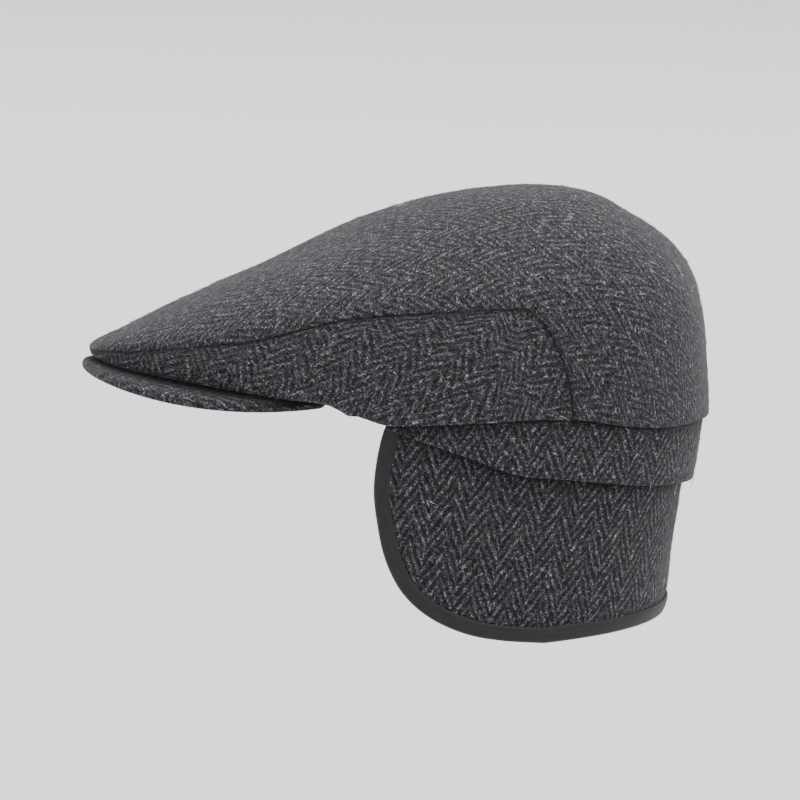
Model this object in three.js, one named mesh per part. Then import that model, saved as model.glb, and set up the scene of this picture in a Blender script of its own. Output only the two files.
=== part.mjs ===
// Stable cap: a tweed flat cap with a stiff peak, a band and a fold-down ear and neck flap.
// Millimetres, +Z up. The peak points to -Y and the wearer's left is +X.
// The origin is the middle of the head opening, level with the crown's lower edge.
import * as THREE from 'three';

// Crown sizes
const CROWN_HEIGHT = 101.2;
const CROWN_TOP_Y = 26;
const CROWN_WIDEST_Y = 10;
const CROWN_NOSE_Y = -172;
const CROWN_BACK_Y = 105.3;
const CROWN_HALF_WIDTH = 88.5;
const SEAM_SIDE_HEIGHT = 50.7;
const SEAM_NOSE_HEIGHT = 27.6;
const RIM_WAVE = 3.6;
const FOLD_RADIUS = 2.3;
const FOLD_CLIMB = 4;
const BACK_SQUARENESS = 0.055;
const FRONT_DOME_POWER = 1.3;
const BACK_DOME_POWER = 1.5;

// Peak sizes
const PEAK_MIDDLE_Y = -92;
const PEAK_HALF_WIDTH = 74;
const PEAK_REACH = 83;
const PEAK_TOP_HEIGHT = 23.7;
const PEAK_ARCH = 14;
const PEAK_CORNER_ANGLE = 108;

// Head opening at the forehead
const HEADLINE_FRONT_Y = -99;
const HEADLINE_HALF_WIDTH = 82;
const PEAK_INNER_ANGLE = 50;

// Band sizes
const BAND_DEPTH = 29.5;
const BAND_BACK_TAPER = 4.6;
const BAND_SIDE_TAPER = 1;
const BAND_FRONT_ANGLE = 75.2;
const BAND_HIDDEN_HEIGHT = 6;
const BAND_HEAD_EASE = 0.5;

// Ear and neck flap sizes
const FLAP_DROP = 92.2;
const FLAP_FRONT_Y = -40.8;
const FLAP_NAPE_RISE = 6;
const NAPE_RISE_EASE = 0.5;
const FLAP_BACK_TAPER = 16;
const FLAP_SIDE_TAPER = 4.5;
const BINDING_WIDTH = 7;
const BINDING_BEVEL = 0.63;

// Thicknesses and clearances
const CROWN_CLOTH = 1.8;
const BAND_CLOTH = 1.6;
const FLAP_CLOTH = 2;
const BINDING_CLOTH = 0.9;
const PEAK_THICKNESS = 4.5;
const SEAM_GAP = 0.36;
const LAYER_GAP = 0.5;
const BINDING_SLOT_GAP = 0.5;
const PEAK_SEAT_GAP = 0.4;
const FOLD_CLEARANCE = 0.9;
const TEMPLE_CLEARANCE = 1.4;

// Angles round the crown, in degrees from the nose
const TURN_START_ANGLE = 64;
const TURN_END_ANGLE = 72;
const RIM_BLEND_START_ANGLE = 66;
const RIM_BLEND_END_ANGLE = 76.5;
const SEAM_CORNER_ANGLE = 98.5;
const SEAM_FOOT_ANGLE = 109.7;
const SEAM_FALL_POWER = 2.2;
const TEMPLE_START_ANGLE = 40;
const TEMPLE_END_ANGLE = 60;
const TURN_FOOT_ANGLE = 77;
const TURN_FOOT_REACHED = 82;
const TURN_FOOT_POWER = 2.1;
const WIDEST_ANGLE = 90;
const NAPE_ANGLE = 180;

// Rings between which the seam and the hidden layers are searched for
const SEAM_RING_LOW = 0.55;
const SEAM_RING_HIGH = 0.98;
const WALL_RING_LOW = 0.7;
const NEAR_RIM_RING = 0.997;
const HALVINGS = 24;
const NORMAL_RING_STEP = 0.002;
const NORMAL_ANGLE_STEP = 0.2;

// Mesh densities
const SEAM_COLUMNS = 27;
const PANEL_ROWS = 12;
const BACK_COLUMNS = 13;
const TOP_ROWS = 10;
const TOP_FAN_POWER = 3;
const PATH_STEPS = 60;
const FOLD_STEPS = 12;
const FOLD_DENSITY = 4;
const UNDER_DENSITY = 0.5;
const PEAK_COLUMNS = 32;
const PEAK_ROWS = 5;
const PEAK_EDGE_STEPS = 4;
const BAND_COLUMNS = 22;
const BAND_ROWS = 4;
const FLAP_COLUMNS = 18;
const FLAP_ROWS = 9;

// Profiles of the crown from its highest point (ring 0) down to its lower edge (ring 1).
// Runs are shares of the way out to the nose, the widest side and the back. Rises are shares of
// the crown's height, and the lower edge's own rise comes from rimLevel. Shift is the share of
// the way that a ring's middle has moved from the highest point to the widest section.
const NOSE_PROFILE = [
  { ring: 0.0, run: 0, rise: 1 },
  { ring: 0.1, run: 0.152, rise: 0.977 },
  { ring: 0.2, run: 0.3, rise: 0.912 },
  { ring: 0.3, run: 0.45, rise: 0.801 },
  { ring: 0.4, run: 0.59, rise: 0.67 },
  { ring: 0.5, run: 0.728, rise: 0.55 },
  { ring: 0.6, run: 0.862, rise: 0.431 },
  { ring: 0.7, run: 0.95, rise: 0.345 },
  { ring: 0.8, run: 0.991, rise: 0.305 },
  { ring: 0.9, run: 1, rise: 0.278 },
  { ring: 1.0, run: 0.998, rise: 0.262 },
];
const SIDE_PROFILE = [
  { ring: 0.0, run: 0, rise: 1, shift: 0 },
  { ring: 0.1, run: 0.16, rise: 0.995, shift: 0.17 },
  { ring: 0.2, run: 0.325, rise: 0.974, shift: 0.34 },
  { ring: 0.3, run: 0.49, rise: 0.932, shift: 0.5 },
  { ring: 0.4, run: 0.64, rise: 0.868, shift: 0.66 },
  { ring: 0.5, run: 0.78, rise: 0.782, shift: 0.82 },
  { ring: 0.6, run: 0.895, rise: 0.672, shift: 0.94 },
  { ring: 0.7, run: 0.972, rise: 0.56, shift: 1 },
  { ring: 0.8, run: 1, rise: 0.43, shift: 1 },
  { ring: 0.9, run: 0.995, rise: 0.23, shift: 1 },
  { ring: 1.0, run: 0.955, rise: 0.02, shift: 1 },
];
const BACK_PROFILE = [
  { ring: 0.0, run: 0, rise: 1 },
  { ring: 0.1, run: 0.14, rise: 0.994 },
  { ring: 0.2, run: 0.275, rise: 0.978 },
  { ring: 0.3, run: 0.4, rise: 0.945 },
  { ring: 0.4, run: 0.53, rise: 0.886 },
  { ring: 0.5, run: 0.655, rise: 0.828 },
  { ring: 0.6, run: 0.785, rise: 0.743 },
  { ring: 0.7, run: 0.893, rise: 0.625 },
  { ring: 0.8, run: 0.958, rise: 0.46 },
  { ring: 0.9, run: 0.987, rise: 0.24 },
  { ring: 1.0, run: 1, rise: 0 },
];

// The seam between the top panel and a side panel climbs from the nose to the side.
const SEAM_CLIMB = [
  { angle: 0, climb: 0 },
  { angle: 26, climb: 0.04 },
  { angle: 39, climb: 0.15 },
  { angle: 49, climb: 0.27 },
  { angle: 56, climb: 0.38 },
  { angle: 61, climb: 0.53 },
  { angle: 67.5, climb: 0.745 },
  { angle: 73.5, climb: 0.85 },
  { angle: 81, climb: 0.92 },
  { angle: 88, climb: 0.98 },
  { angle: 98.5, climb: 1 },
];

// The crown's lower edge waves up over the ears and down towards the nape, in shares of RIM_WAVE.
const RIM_LEVELS = [
  { angle: 64, level: 0.2 },
  { angle: 78, level: 0.18 },
  { angle: 88, level: 0.6 },
  { angle: 97, level: 0.95 },
  { angle: 107, level: 1 },
  { angle: 114, level: 0.8 },
  { angle: 120, level: 0.3 },
  { angle: 127, level: -0.1 },
  { angle: 135, level: -0.4 },
  { angle: 146, level: -0.36 },
  { angle: 160, level: -0.2 },
  { angle: 180, level: 0 },
];

// The band shows more and more below the crown towards the nape, in shares of BAND_DEPTH.
const BAND_LEVELS = [
  { angle: 74, depth: 0 },
  { angle: 76, depth: 0.05 },
  { angle: 79, depth: 0.17 },
  { angle: 82, depth: 0.27 },
  { angle: 86.5, depth: 0.44 },
  { angle: 91, depth: 0.6 },
  { angle: 99, depth: 0.71 },
  { angle: 108, depth: 0.75 },
  { angle: 118, depth: 0.81 },
  { angle: 133, depth: 0.9 },
  { angle: 149, depth: 0.945 },
  { angle: 180, depth: 1 },
];

// The flap's free edge, from where it leaves the crown, round its front corner to its level hem.
// Runs are shares of the flap's reach in front of the widest section, drops are shares of FLAP_DROP.
const FLAP_EDGE = [
  { step: 0, run: 0.87, drop: -0.035 },
  { step: 0.1, run: 0.93, drop: 0.05 },
  { step: 0.2, run: 0.98, drop: 0.18 },
  { step: 0.32, run: 1, drop: 0.31 },
  { step: 0.43, run: 0.975, drop: 0.44 },
  { step: 0.58, run: 0.91, drop: 0.61 },
  { step: 0.72, run: 0.78, drop: 0.76 },
  { step: 0.86, run: 0.575, drop: 0.87 },
  { step: 1, run: 0.306, drop: 0.944 },
  { step: 1.16, run: 0.02, drop: 0.981 },
  { step: 1.5, run: -0.53, drop: 1 },
];
const FLAP_CORNER_STEP = 0.72;
const FLAP_CORNER_SHARE = 0.5;

// How the flap leans in at the nape: shares of FLAP_DROP and of FLAP_BACK_TAPER.
const FLAP_LEAN = [
  { drop: 0, lean: 0 },
  { drop: 0.33, lean: 0.37 },
  { drop: 0.66, lean: 0.66 },
  { drop: 0.86, lean: 0.79 },
  { drop: 1, lean: 1 },
];

const clamp01 = (value) => Math.min(1, Math.max(0, value));
const mix = (from, to, share) => from + (to - from) * share;
const radians = THREE.MathUtils.degToRad;

function smoothStep(from, to, value) {
  const share = clamp01((value - from) / (to - from));
  return share * share * (3 - 2 * share);
}

// A smooth curve through table rows: key is the running column and name the column read.
function readTable(rows, key, name, at) {
  const last = rows.length - 1;
  const place = Math.min(rows[last][key], Math.max(rows[0][key], at));
  let row = 0;
  while (row < last - 1 && rows[row + 1][key] < place) row += 1;
  const slope = (index) => {
    const before = rows[Math.max(0, index - 1)];
    const after = rows[Math.min(last, index + 1)];
    return (after[name] - before[name]) / (after[key] - before[key]);
  };
  const width = rows[row + 1][key] - rows[row][key];
  const share = (place - rows[row][key]) / width;
  const cube = share * share * share;
  const square = share * share;
  return (2 * cube - 3 * square + 1) * rows[row][name]
    + (cube - 2 * square + share) * width * slope(row)
    + (3 * square - 2 * cube) * rows[row + 1][name]
    + (cube - square) * width * slope(row + 1);
}

// The outline seen from above: front half an ellipse, back half a little squarer.
function planPoint(angle, halfWidth, middleY, frontY, backY) {
  const turn = radians(angle);
  const across = Math.sin(turn);
  const along = Math.cos(turn);
  if (along >= 0) {
    return new THREE.Vector3(halfWidth * across, middleY + (frontY - middleY) * along, 0);
  }
  const square = 1 + BACK_SQUARENESS * Math.sin(2 * turn) ** 2;
  return new THREE.Vector3(
    halfWidth * across * square,
    middleY - (backY - middleY) * along * square,
    0,
  );
}

function ringSizes(ring) {
  const read = (profile, name) => readTable(profile, 'ring', name, ring);
  return {
    halfWidth: CROWN_HALF_WIDTH * read(SIDE_PROFILE, 'run'),
    middleY: mix(CROWN_TOP_Y, CROWN_WIDEST_Y, read(SIDE_PROFILE, 'shift')),
    frontY: mix(CROWN_TOP_Y, CROWN_NOSE_Y, read(NOSE_PROFILE, 'run')),
    backY: mix(CROWN_TOP_Y, CROWN_BACK_Y, read(BACK_PROFILE, 'run')),
  };
}

function peakTop(x) {
  return PEAK_TOP_HEIGHT - PEAK_ARCH * (x / PEAK_HALF_WIDTH) ** 2;
}

// The lowest level of the crown: it lies over the peak in front and is free from the temples back.
function lowerEdgeLevel(angle) {
  const across = Math.sin(radians(Math.min(angle, WIDEST_ANGLE)));
  const foldX = (ringSizes(1).halfWidth - FOLD_RADIUS) * across;
  const overPeak = peakTop(foldX) + FOLD_CLEARANCE;
  const free = RIM_WAVE * readTable(RIM_LEVELS, 'angle', 'level', angle);
  return mix(overPeak, free, smoothStep(RIM_BLEND_START_ANGLE, RIM_BLEND_END_ANGLE, angle));
}

// 1 where the side panel turns fully under the crown, 0 where it ends at the lower edge.
function turnUnderShare(angle) {
  return 1 - smoothStep(TURN_START_ANGLE, TURN_END_ANGLE, angle);
}

function rimLevel(angle) {
  return lowerEdgeLevel(angle) + FOLD_RADIUS * turnUnderShare(angle);
}

// The crown's outer surface.
function crownPoint(angle, ring) {
  const sizes = ringSizes(ring);
  const point = planPoint(angle, sizes.halfWidth, sizes.middleY, sizes.frontY, sizes.backY);
  const along = Math.cos(radians(angle));
  const share = along >= 0 ? along ** FRONT_DOME_POWER : (-along) ** BACK_DOME_POWER;
  const profile = along >= 0 ? NOSE_PROFILE : BACK_PROFILE;
  const levels = SIDE_PROFILE.map((row, index) => (
    { ring: row.ring, level: CROWN_HEIGHT * mix(row.rise, profile[index].rise, share) }
  ));
  levels[levels.length - 1].level = rimLevel(angle);
  point.z = readTable(levels, 'ring', 'level', ring);
  return point;
}

function crownNormal(angle, ring) {
  const low = Math.max(NORMAL_RING_STEP, ring - NORMAL_RING_STEP);
  const high = Math.min(1, ring + NORMAL_RING_STEP);
  const before = crownPoint(angle - NORMAL_ANGLE_STEP, ring);
  const after = crownPoint(angle + NORMAL_ANGLE_STEP, ring);
  const down = crownPoint(angle, high).sub(crownPoint(angle, low));
  const round = after.sub(before);
  return new THREE.Vector3().crossVectors(down, round).normalize();
}

// The ring between two others at which the crown has a level at an angle, found by halving.
function ringAtLevel(angle, level, lowRing, highRing) {
  let low = lowRing;
  let high = highRing;
  for (let step = 0; step < HALVINGS; step += 1) {
    const middle = (low + high) / 2;
    if (crownPoint(angle, middle).z > level) low = middle;
    else high = middle;
  }
  return high;
}

// The ring on which the seam lies at an angle.
function seamRing(angle) {
  const climb = readTable(SEAM_CLIMB, 'angle', 'climb', angle);
  const level = mix(SEAM_NOSE_HEIGHT, SEAM_SIDE_HEIGHT, climb);
  return ringAtLevel(angle, level, SEAM_RING_LOW, SEAM_RING_HIGH);
}

// Forehead line of the head opening, where the peak and the turned-under cloth end.
function headlinePoint(angle) {
  const turn = radians(angle);
  return new THREE.Vector3(
    HEADLINE_HALF_WIDTH * Math.sin(turn),
    CROWN_WIDEST_Y + (HEADLINE_FRONT_Y - CROWN_WIDEST_Y) * Math.cos(turn),
    0,
  );
}

// A side panel's columns lean back below the seam, the last one most: it is the falling seam.
function columnAngle(share, drop) {
  const top = SEAM_CORNER_ANGLE * share;
  const foot = SEAM_FOOT_ANGLE * share;
  return mix(top, foot, 1 - (1 - drop) ** SEAM_FALL_POWER);
}

// One column of a side panel: down the wall, round the lower fold and back to the forehead line.
function sidePath(share) {
  const topRing = seamRing(SEAM_CORNER_ANGLE * share);
  const points = [];
  for (let step = 0; step <= PATH_STEPS; step += 1) {
    const drop = step / PATH_STEPS;
    const point = crownPoint(columnAngle(share, drop), mix(topRing, 1, drop));
    points.push({ point, dense: 1 });
  }
  const footAngle = SEAM_FOOT_ANGLE * share;
  const under = turnUnderShare(footAngle);
  if (under > 0) {
    points.push(...turnedUnder(footAngle, points[PATH_STEPS].point, under));
  }
  return points;
}

// The cloth turned under the crown: round the fold, then back over the peak to the forehead line.
function turnedUnder(angle, rim, under) {
  const end = headlinePoint(TURN_FOOT_ANGLE * (angle / TURN_FOOT_REACHED) ** TURN_FOOT_POWER);
  const inward = new THREE.Vector3(end.x - rim.x, end.y - rim.y, 0).normalize();
  const points = [];
  for (let step = 1; step <= FOLD_STEPS; step += 1) {
    const turn = (Math.PI / 2) * (step / FOLD_STEPS);
    const point = rim.clone().addScaledVector(inward, FOLD_RADIUS * (1 - Math.cos(turn)));
    point.z -= FOLD_RADIUS * Math.sin(turn);
    points.push({ point, dense: FOLD_DENSITY });
  }
  const start = points[points.length - 1].point;
  const length = Math.hypot(end.x - start.x, end.y - start.y);
  const temple = smoothStep(TEMPLE_START_ANGLE, TEMPLE_END_ANGLE, angle);
  const seat = mix(PEAK_SEAT_GAP, TEMPLE_CLEARANCE, temple);
  for (let step = 1; step <= PATH_STEPS; step += 1) {
    const share = step / PATH_STEPS;
    const point = start.clone().lerp(end, share);
    const resting = peakTop(point.x) + mix(FOLD_CLEARANCE, seat, share);
    point.z = mix(start.z, resting, smoothStep(0, FOLD_CLIMB, share * length));
    points.push({ point, dense: UNDER_DENSITY });
  }
  return points.slice(0, Math.max(1, Math.round(points.length * under)));
}

// Points spread evenly along a path, closer together where its density is higher.
function spread(path, count) {
  const sums = [0];
  for (let index = 1; index < path.length; index += 1) {
    const length = path[index].point.distanceTo(path[index - 1].point);
    sums.push(sums[index - 1] + length * path[index].dense);
  }
  const total = sums[sums.length - 1];
  const points = [];
  let index = 1;
  for (let step = 0; step <= count; step += 1) {
    const wanted = (total * step) / count;
    while (index < path.length - 1 && sums[index] < wanted) index += 1;
    const share = (wanted - sums[index - 1]) / (sums[index] - sums[index - 1]);
    points.push(path[index - 1].point.clone().lerp(path[index].point, clamp01(share)));
  }
  return points;
}

// Outward normals of a grid of points, from its neighbours.
function gridNormals(grid) {
  const columns = grid.length;
  return grid.map((column, i) => column.map((point, j) => {
    const before = grid[Math.max(0, i - 1)][j];
    const after = grid[Math.min(columns - 1, i + 1)][j];
    const above = column[Math.max(0, j - 1)];
    const below = column[Math.min(column.length - 1, j + 1)];
    const down = new THREE.Vector3().subVectors(below, above);
    const round = new THREE.Vector3().subVectors(after, before);
    return new THREE.Vector3().crossVectors(down, round).normalize();
  }));
}

function offsetGrid(grid, normals, depth) {
  return grid.map((column, i) => column.map((point, j) => (
    point.clone().addScaledVector(normals[i][j], -depth)
  )));
}

// A closed body between an outer and an inner grid of the same size.
function sheetBody(outer, inner) {
  const columns = outer.length;
  const rows = outer[0].length;
  const triangles = [];
  const quad = (a, b, c, d) => triangles.push(a, b, c, a, c, d);
  for (let i = 0; i < columns - 1; i += 1) {
    for (let j = 0; j < rows - 1; j += 1) {
      quad(outer[i][j], outer[i][j + 1], outer[i + 1][j + 1], outer[i + 1][j]);
      quad(inner[i][j], inner[i + 1][j], inner[i + 1][j + 1], inner[i][j + 1]);
    }
  }
  for (let i = 0; i < columns - 1; i += 1) {
    quad(outer[i][0], outer[i + 1][0], inner[i + 1][0], inner[i][0]);
    quad(outer[i][rows - 1], inner[i][rows - 1], inner[i + 1][rows - 1], outer[i + 1][rows - 1]);
  }
  for (let j = 0; j < rows - 1; j += 1) {
    quad(outer[0][j], inner[0][j], inner[0][j + 1], outer[0][j + 1]);
    const end = columns - 1;
    quad(outer[end][j], outer[end][j + 1], inner[end][j + 1], inner[end][j]);
  }
  return bodyFromTriangles(triangles);
}

function bodyFromTriangles(triangles) {
  const positions = new Float32Array(triangles.length * 3);
  triangles.forEach((point, index) => point.toArray(positions, index * 3));
  const geometry = new THREE.BufferGeometry();
  geometry.setAttribute('position', new THREE.BufferAttribute(positions, 3));
  geometry.computeVertexNormals();
  return geometry;
}

// Swaps a grid to the wearer's other side and keeps it facing out.
function mirrored(grid) {
  const flipped = grid.map((column) => column.map((point) => (
    new THREE.Vector3(-point.x, point.y, point.z)
  )));
  return flipped.reverse();
}

// The seam on the wearer's left, from the nose along the side and down to the lower edge.
function seamLine() {
  const line = [];
  for (let i = 0; i <= SEAM_COLUMNS; i += 1) {
    const angle = (SEAM_CORNER_ANGLE * i) / SEAM_COLUMNS;
    line.push({ angle, fanAngle: angle, ring: seamRing(angle) });
  }
  const cornerRing = seamRing(SEAM_CORNER_ANGLE);
  const path = [];
  for (let step = 0; step <= PATH_STEPS; step += 1) {
    const drop = step / PATH_STEPS;
    const angle = columnAngle(1, drop);
    const ring = mix(cornerRing, 1, drop);
    path.push({ point: crownPoint(angle, ring) });
  }
  for (let row = 1; row <= PANEL_ROWS; row += 1) {
    const drop = fallingDrop(path, row / PANEL_ROWS);
    const fanAngle = mix(SEAM_CORNER_ANGLE, SEAM_FOOT_ANGLE, row / PANEL_ROWS);
    line.push({ angle: columnAngle(1, drop), fanAngle, ring: mix(cornerRing, 1, drop) });
  }
  const points = line.map((place) => crownPoint(place.angle, place.ring));
  return line.map((place, index) => {
    const before = points[Math.max(0, index - 1)];
    const after = points[Math.min(points.length - 1, index + 1)];
    const normal = crownNormal(place.angle, Math.min(place.ring, NEAR_RIM_RING));
    const tangent = new THREE.Vector3().subVectors(after, before).normalize();
    if (index === 0) tangent.set(1, 0, 0);
    const toSide = new THREE.Vector3().crossVectors(tangent, normal).normalize();
    return { ...place, point: points[index], normal, toSide };
  });
}

// The drop share at which a share of the falling seam's length is reached.
function fallingDrop(path, share) {
  const sums = [0];
  for (let index = 1; index < path.length; index += 1) {
    sums.push(sums[index - 1] + path[index].point.distanceTo(path[index - 1].point));
  }
  const wanted = sums[sums.length - 1] * share;
  let index = 1;
  while (index < sums.length - 1 && sums[index] < wanted) index += 1;
  const part = (wanted - sums[index - 1]) / (sums[index] - sums[index - 1]);
  return (index - 1 + clamp01(part)) / (path.length - 1);
}

function topPanel(seam) {
  const half = seam.map((place) => ({
    ...place,
    edge: place.point.clone().addScaledVector(place.toSide, -SEAM_GAP / 2),
  }));
  for (let i = 1; i <= BACK_COLUMNS; i += 1) {
    const angle = mix(SEAM_FOOT_ANGLE, NAPE_ANGLE, i / BACK_COLUMNS);
    const edge = crownPoint(angle, 1);
    const normal = crownNormal(angle, NEAR_RIM_RING);
    half.push({ angle, fanAngle: angle, ring: 1, edge, normal });
  }
  const flip = (vector) => new THREE.Vector3(-vector.x, vector.y, vector.z);
  const columns = half.map((place) => topColumn(place));
  const others = half.slice(1, -1).map((place) => {
    const column = topColumn(place);
    return { outer: column.outer.map(flip), inner: column.inner.map(flip) };
  });
  const round = [...columns, ...others.reverse()];
  const triangles = [];
  const quad = (a, b, c, d) => triangles.push(a, b, c, a, c, d);
  round.forEach((column, i) => {
    const next = round[(i + 1) % round.length];
    triangles.push(column.outer[0], column.outer[1], next.outer[1]);
    triangles.push(column.inner[0], next.inner[1], column.inner[1]);
    for (let j = 1; j < TOP_ROWS; j += 1) {
      quad(column.outer[j], column.outer[j + 1], next.outer[j + 1], next.outer[j]);
      quad(column.inner[j], next.inner[j], next.inner[j + 1], column.inner[j + 1]);
    }
    const end = TOP_ROWS;
    quad(column.outer[end], column.inner[end], next.inner[end], next.outer[end]);
  });
  return bodyFromTriangles(triangles);
}

// One column of the top panel, from the highest point out to its edge. Columns fan out evenly
// inside and gather only where the falling seam brings their ends together.
function topColumn(place) {
  const outer = [];
  const inner = [];
  for (let row = 0; row <= TOP_ROWS; row += 1) {
    const ring = (place.ring * row) / TOP_ROWS;
    const angle = mix(place.fanAngle, place.angle, (row / TOP_ROWS) ** TOP_FAN_POWER);
    const point = row === TOP_ROWS ? place.edge : crownPoint(angle, ring);
    let normal = row === TOP_ROWS ? place.normal : crownNormal(angle, ring);
    if (row === 0) normal = new THREE.Vector3(0, 0, 1);
    outer.push(point);
    inner.push(point.clone().addScaledVector(normal, -CROWN_CLOTH));
  }
  return { outer, inner };
}

function sidePanelGrid(seam) {
  const grid = [];
  for (let i = 0; i <= SEAM_COLUMNS; i += 1) {
    const column = spread(sidePath(i / SEAM_COLUMNS), PANEL_ROWS);
    column[0] = seam[i].point.clone().addScaledVector(seam[i].toSide, SEAM_GAP / 2);
    if (i === 0) column.forEach((point) => point.setX(SEAM_GAP / 2));
    grid.push(column);
  }
  for (let row = 1; row <= PANEL_ROWS; row += 1) {
    const place = seam[SEAM_COLUMNS + row];
    grid[SEAM_COLUMNS][row] = place.point.clone().addScaledVector(place.toSide, SEAM_GAP / 2);
  }
  const normals = gridNormals(grid);
  seam.forEach((place, index) => {
    if (index <= SEAM_COLUMNS) normals[index][0] = place.normal;
    else normals[SEAM_COLUMNS][index - SEAM_COLUMNS] = place.normal;
  });
  normals[0].forEach((normal) => normal.setX(0).normalize());
  return { outer: grid, inner: offsetGrid(grid, normals, CROWN_CLOTH) };
}

// The peak: a stiff arched plate from the forehead line to a half-round outer edge.
function peakBody() {
  const rings = [];
  for (let i = 0; i <= PEAK_COLUMNS; i += 1) {
    rings.push(peakSection(mix(-1, 1, i / PEAK_COLUMNS)));
  }
  return sweptBody(rings);
}

function peakSection(share) {
  const inner = headlinePoint(PEAK_INNER_ANGLE * share);
  const turn = radians(PEAK_CORNER_ANGLE * share);
  const outer = new THREE.Vector3(
    PEAK_HALF_WIDTH * Math.sin(turn),
    PEAK_MIDDLE_Y - PEAK_REACH * Math.cos(turn),
    0,
  );
  const radius = PEAK_THICKNESS / 2;
  const out = outer.clone().sub(inner).normalize();
  const edge = outer.clone().addScaledVector(out, -radius);
  const points = [];
  const place = (flat, height) => {
    const point = flat.clone();
    point.z = peakTop(point.x) - radius + height;
    points.push(point);
  };
  for (let row = 0; row < PEAK_ROWS; row += 1) {
    place(inner.clone().lerp(edge, row / PEAK_ROWS), radius);
  }
  for (let step = 0; step <= PEAK_EDGE_STEPS; step += 1) {
    const lift = Math.PI / 2 - (Math.PI * step) / PEAK_EDGE_STEPS;
    place(edge.clone().addScaledVector(out, radius * Math.cos(lift)), radius * Math.sin(lift));
  }
  for (let row = PEAK_ROWS - 1; row >= 0; row -= 1) {
    place(inner.clone().lerp(edge, row / PEAK_ROWS), -radius);
  }
  return points;
}

// A closed body swept through rings of points. Each ring's two halves mirror each other, so that
// the caps at both ends are ladders of quads.
function sweptBody(rings) {
  const size = rings[0].length;
  const triangles = [];
  for (let i = 0; i < rings.length - 1; i += 1) {
    for (let j = 0; j < size; j += 1) {
      const next = (j + 1) % size;
      triangles.push(rings[i][j], rings[i][next], rings[i + 1][next]);
      triangles.push(rings[i][j], rings[i + 1][next], rings[i + 1][j]);
    }
  }
  const cap = (ring, flip) => {
    for (let low = 0, high = size - 1; high - low > 1; low += 1, high -= 1) {
      const corners = [ring[low], ring[low + 1], ring[high - 1], ring[high]];
      if (flip) corners.reverse();
      const [a, b, c, d] = corners;
      triangles.push(a, b, c, a, c, d);
    }
  };
  cap(rings[0], true);
  cap(rings[rings.length - 1], false);
  return bodyFromTriangles(triangles);
}

// Plan of a layer inside the crown's lower edge, set in from the crown's outside.
function layerPoint(angle, level, setIn, sideTaper, backTaper) {
  const rim = ringSizes(1);
  const inside = level > rimLevel(angle);
  const sizes = inside ? ringSizes(ringAtLevel(angle, level, WALL_RING_LOW, 1)) : rim;
  const point = planPoint(
    angle,
    sizes.halfWidth - setIn - sideTaper,
    sizes.middleY,
    rim.frontY,
    sizes.backY - setIn - backTaper,
  );
  point.z = level;
  return point;
}

// The band and the flap lean in a little where they run up inside the crown.
function headEase(angle, level) {
  return BAND_HEAD_EASE * clamp01((level - lowerEdgeLevel(angle)) / BAND_HIDDEN_HEIGHT);
}

function bandGrid() {
  const setIn = CROWN_CLOTH + LAYER_GAP;
  const grid = [];
  for (let i = -BAND_COLUMNS; i <= BAND_COLUMNS; i += 1) {
    const angle = mix(NAPE_ANGLE, BAND_FRONT_ANGLE, Math.abs(i) / BAND_COLUMNS);
    const foot = -BAND_DEPTH * readTable(BAND_LEVELS, 'angle', 'depth', angle);
    const head = lowerEdgeLevel(angle) + BAND_HIDDEN_HEIGHT;
    const column = [];
    for (let j = 0; j <= BAND_ROWS; j += 1) {
      const level = mix(head, foot, j / BAND_ROWS);
      const lean = clamp01(-level / BAND_DEPTH);
      const ease = headEase(angle, level);
      const point = layerPoint(
        angle,
        level,
        setIn + ease,
        BAND_SIDE_TAPER * lean,
        BAND_BACK_TAPER * lean,
      );
      point.x *= -Math.sign(i) || 0;
      column.push(point);
    }
    grid.push(column);
  }
  return grid;
}

// A point of the flap's outer face at an angle and a level.
function flapPoint(angle, level) {
  const seated = CROWN_CLOTH + LAYER_GAP + BAND_CLOTH + LAYER_GAP;
  const room = BINDING_SLOT_GAP + BINDING_CLOTH;
  const drop = clamp01(-level / FLAP_DROP);
  const lean = readTable(FLAP_LEAN, 'drop', 'lean', drop);
  return layerPoint(
    angle,
    level,
    seated + room + headEase(angle, level),
    FLAP_SIDE_TAPER * drop,
    FLAP_BACK_TAPER * lean,
  );
}

// Angle at which the flap has a given run in front of (or behind) the widest section.
function flapAngle(run) {
  const sizes = ringSizes(1);
  const reach = run * (CROWN_WIDEST_Y - FLAP_FRONT_Y);
  const axis = reach >= 0 ? CROWN_WIDEST_Y - sizes.frontY : sizes.backY - CROWN_WIDEST_Y;
  return THREE.MathUtils.radToDeg(Math.acos(reach / axis));
}

function flapEdgePlace(step) {
  const run = readTable(FLAP_EDGE, 'step', 'run', step);
  const drop = readTable(FLAP_EDGE, 'step', 'drop', step);
  return { angle: flapAngle(run), level: -FLAP_DROP * drop };
}

// The flap's hem, from its front corner (share 0) to the middle of the nape (share 1).
function flapHemPlace(share) {
  const last = FLAP_EDGE[FLAP_EDGE.length - 1].step;
  if (share <= FLAP_CORNER_SHARE) {
    return flapEdgePlace(mix(FLAP_CORNER_STEP, last, share / FLAP_CORNER_SHARE));
  }
  const end = flapEdgePlace(last);
  const back = (share - FLAP_CORNER_SHARE) / (1 - FLAP_CORNER_SHARE);
  const rise = FLAP_NAPE_RISE * back * (1 + NAPE_RISE_EASE * (1 - back));
  return { angle: mix(end.angle, NAPE_ANGLE, back), level: end.level + rise };
}

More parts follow.
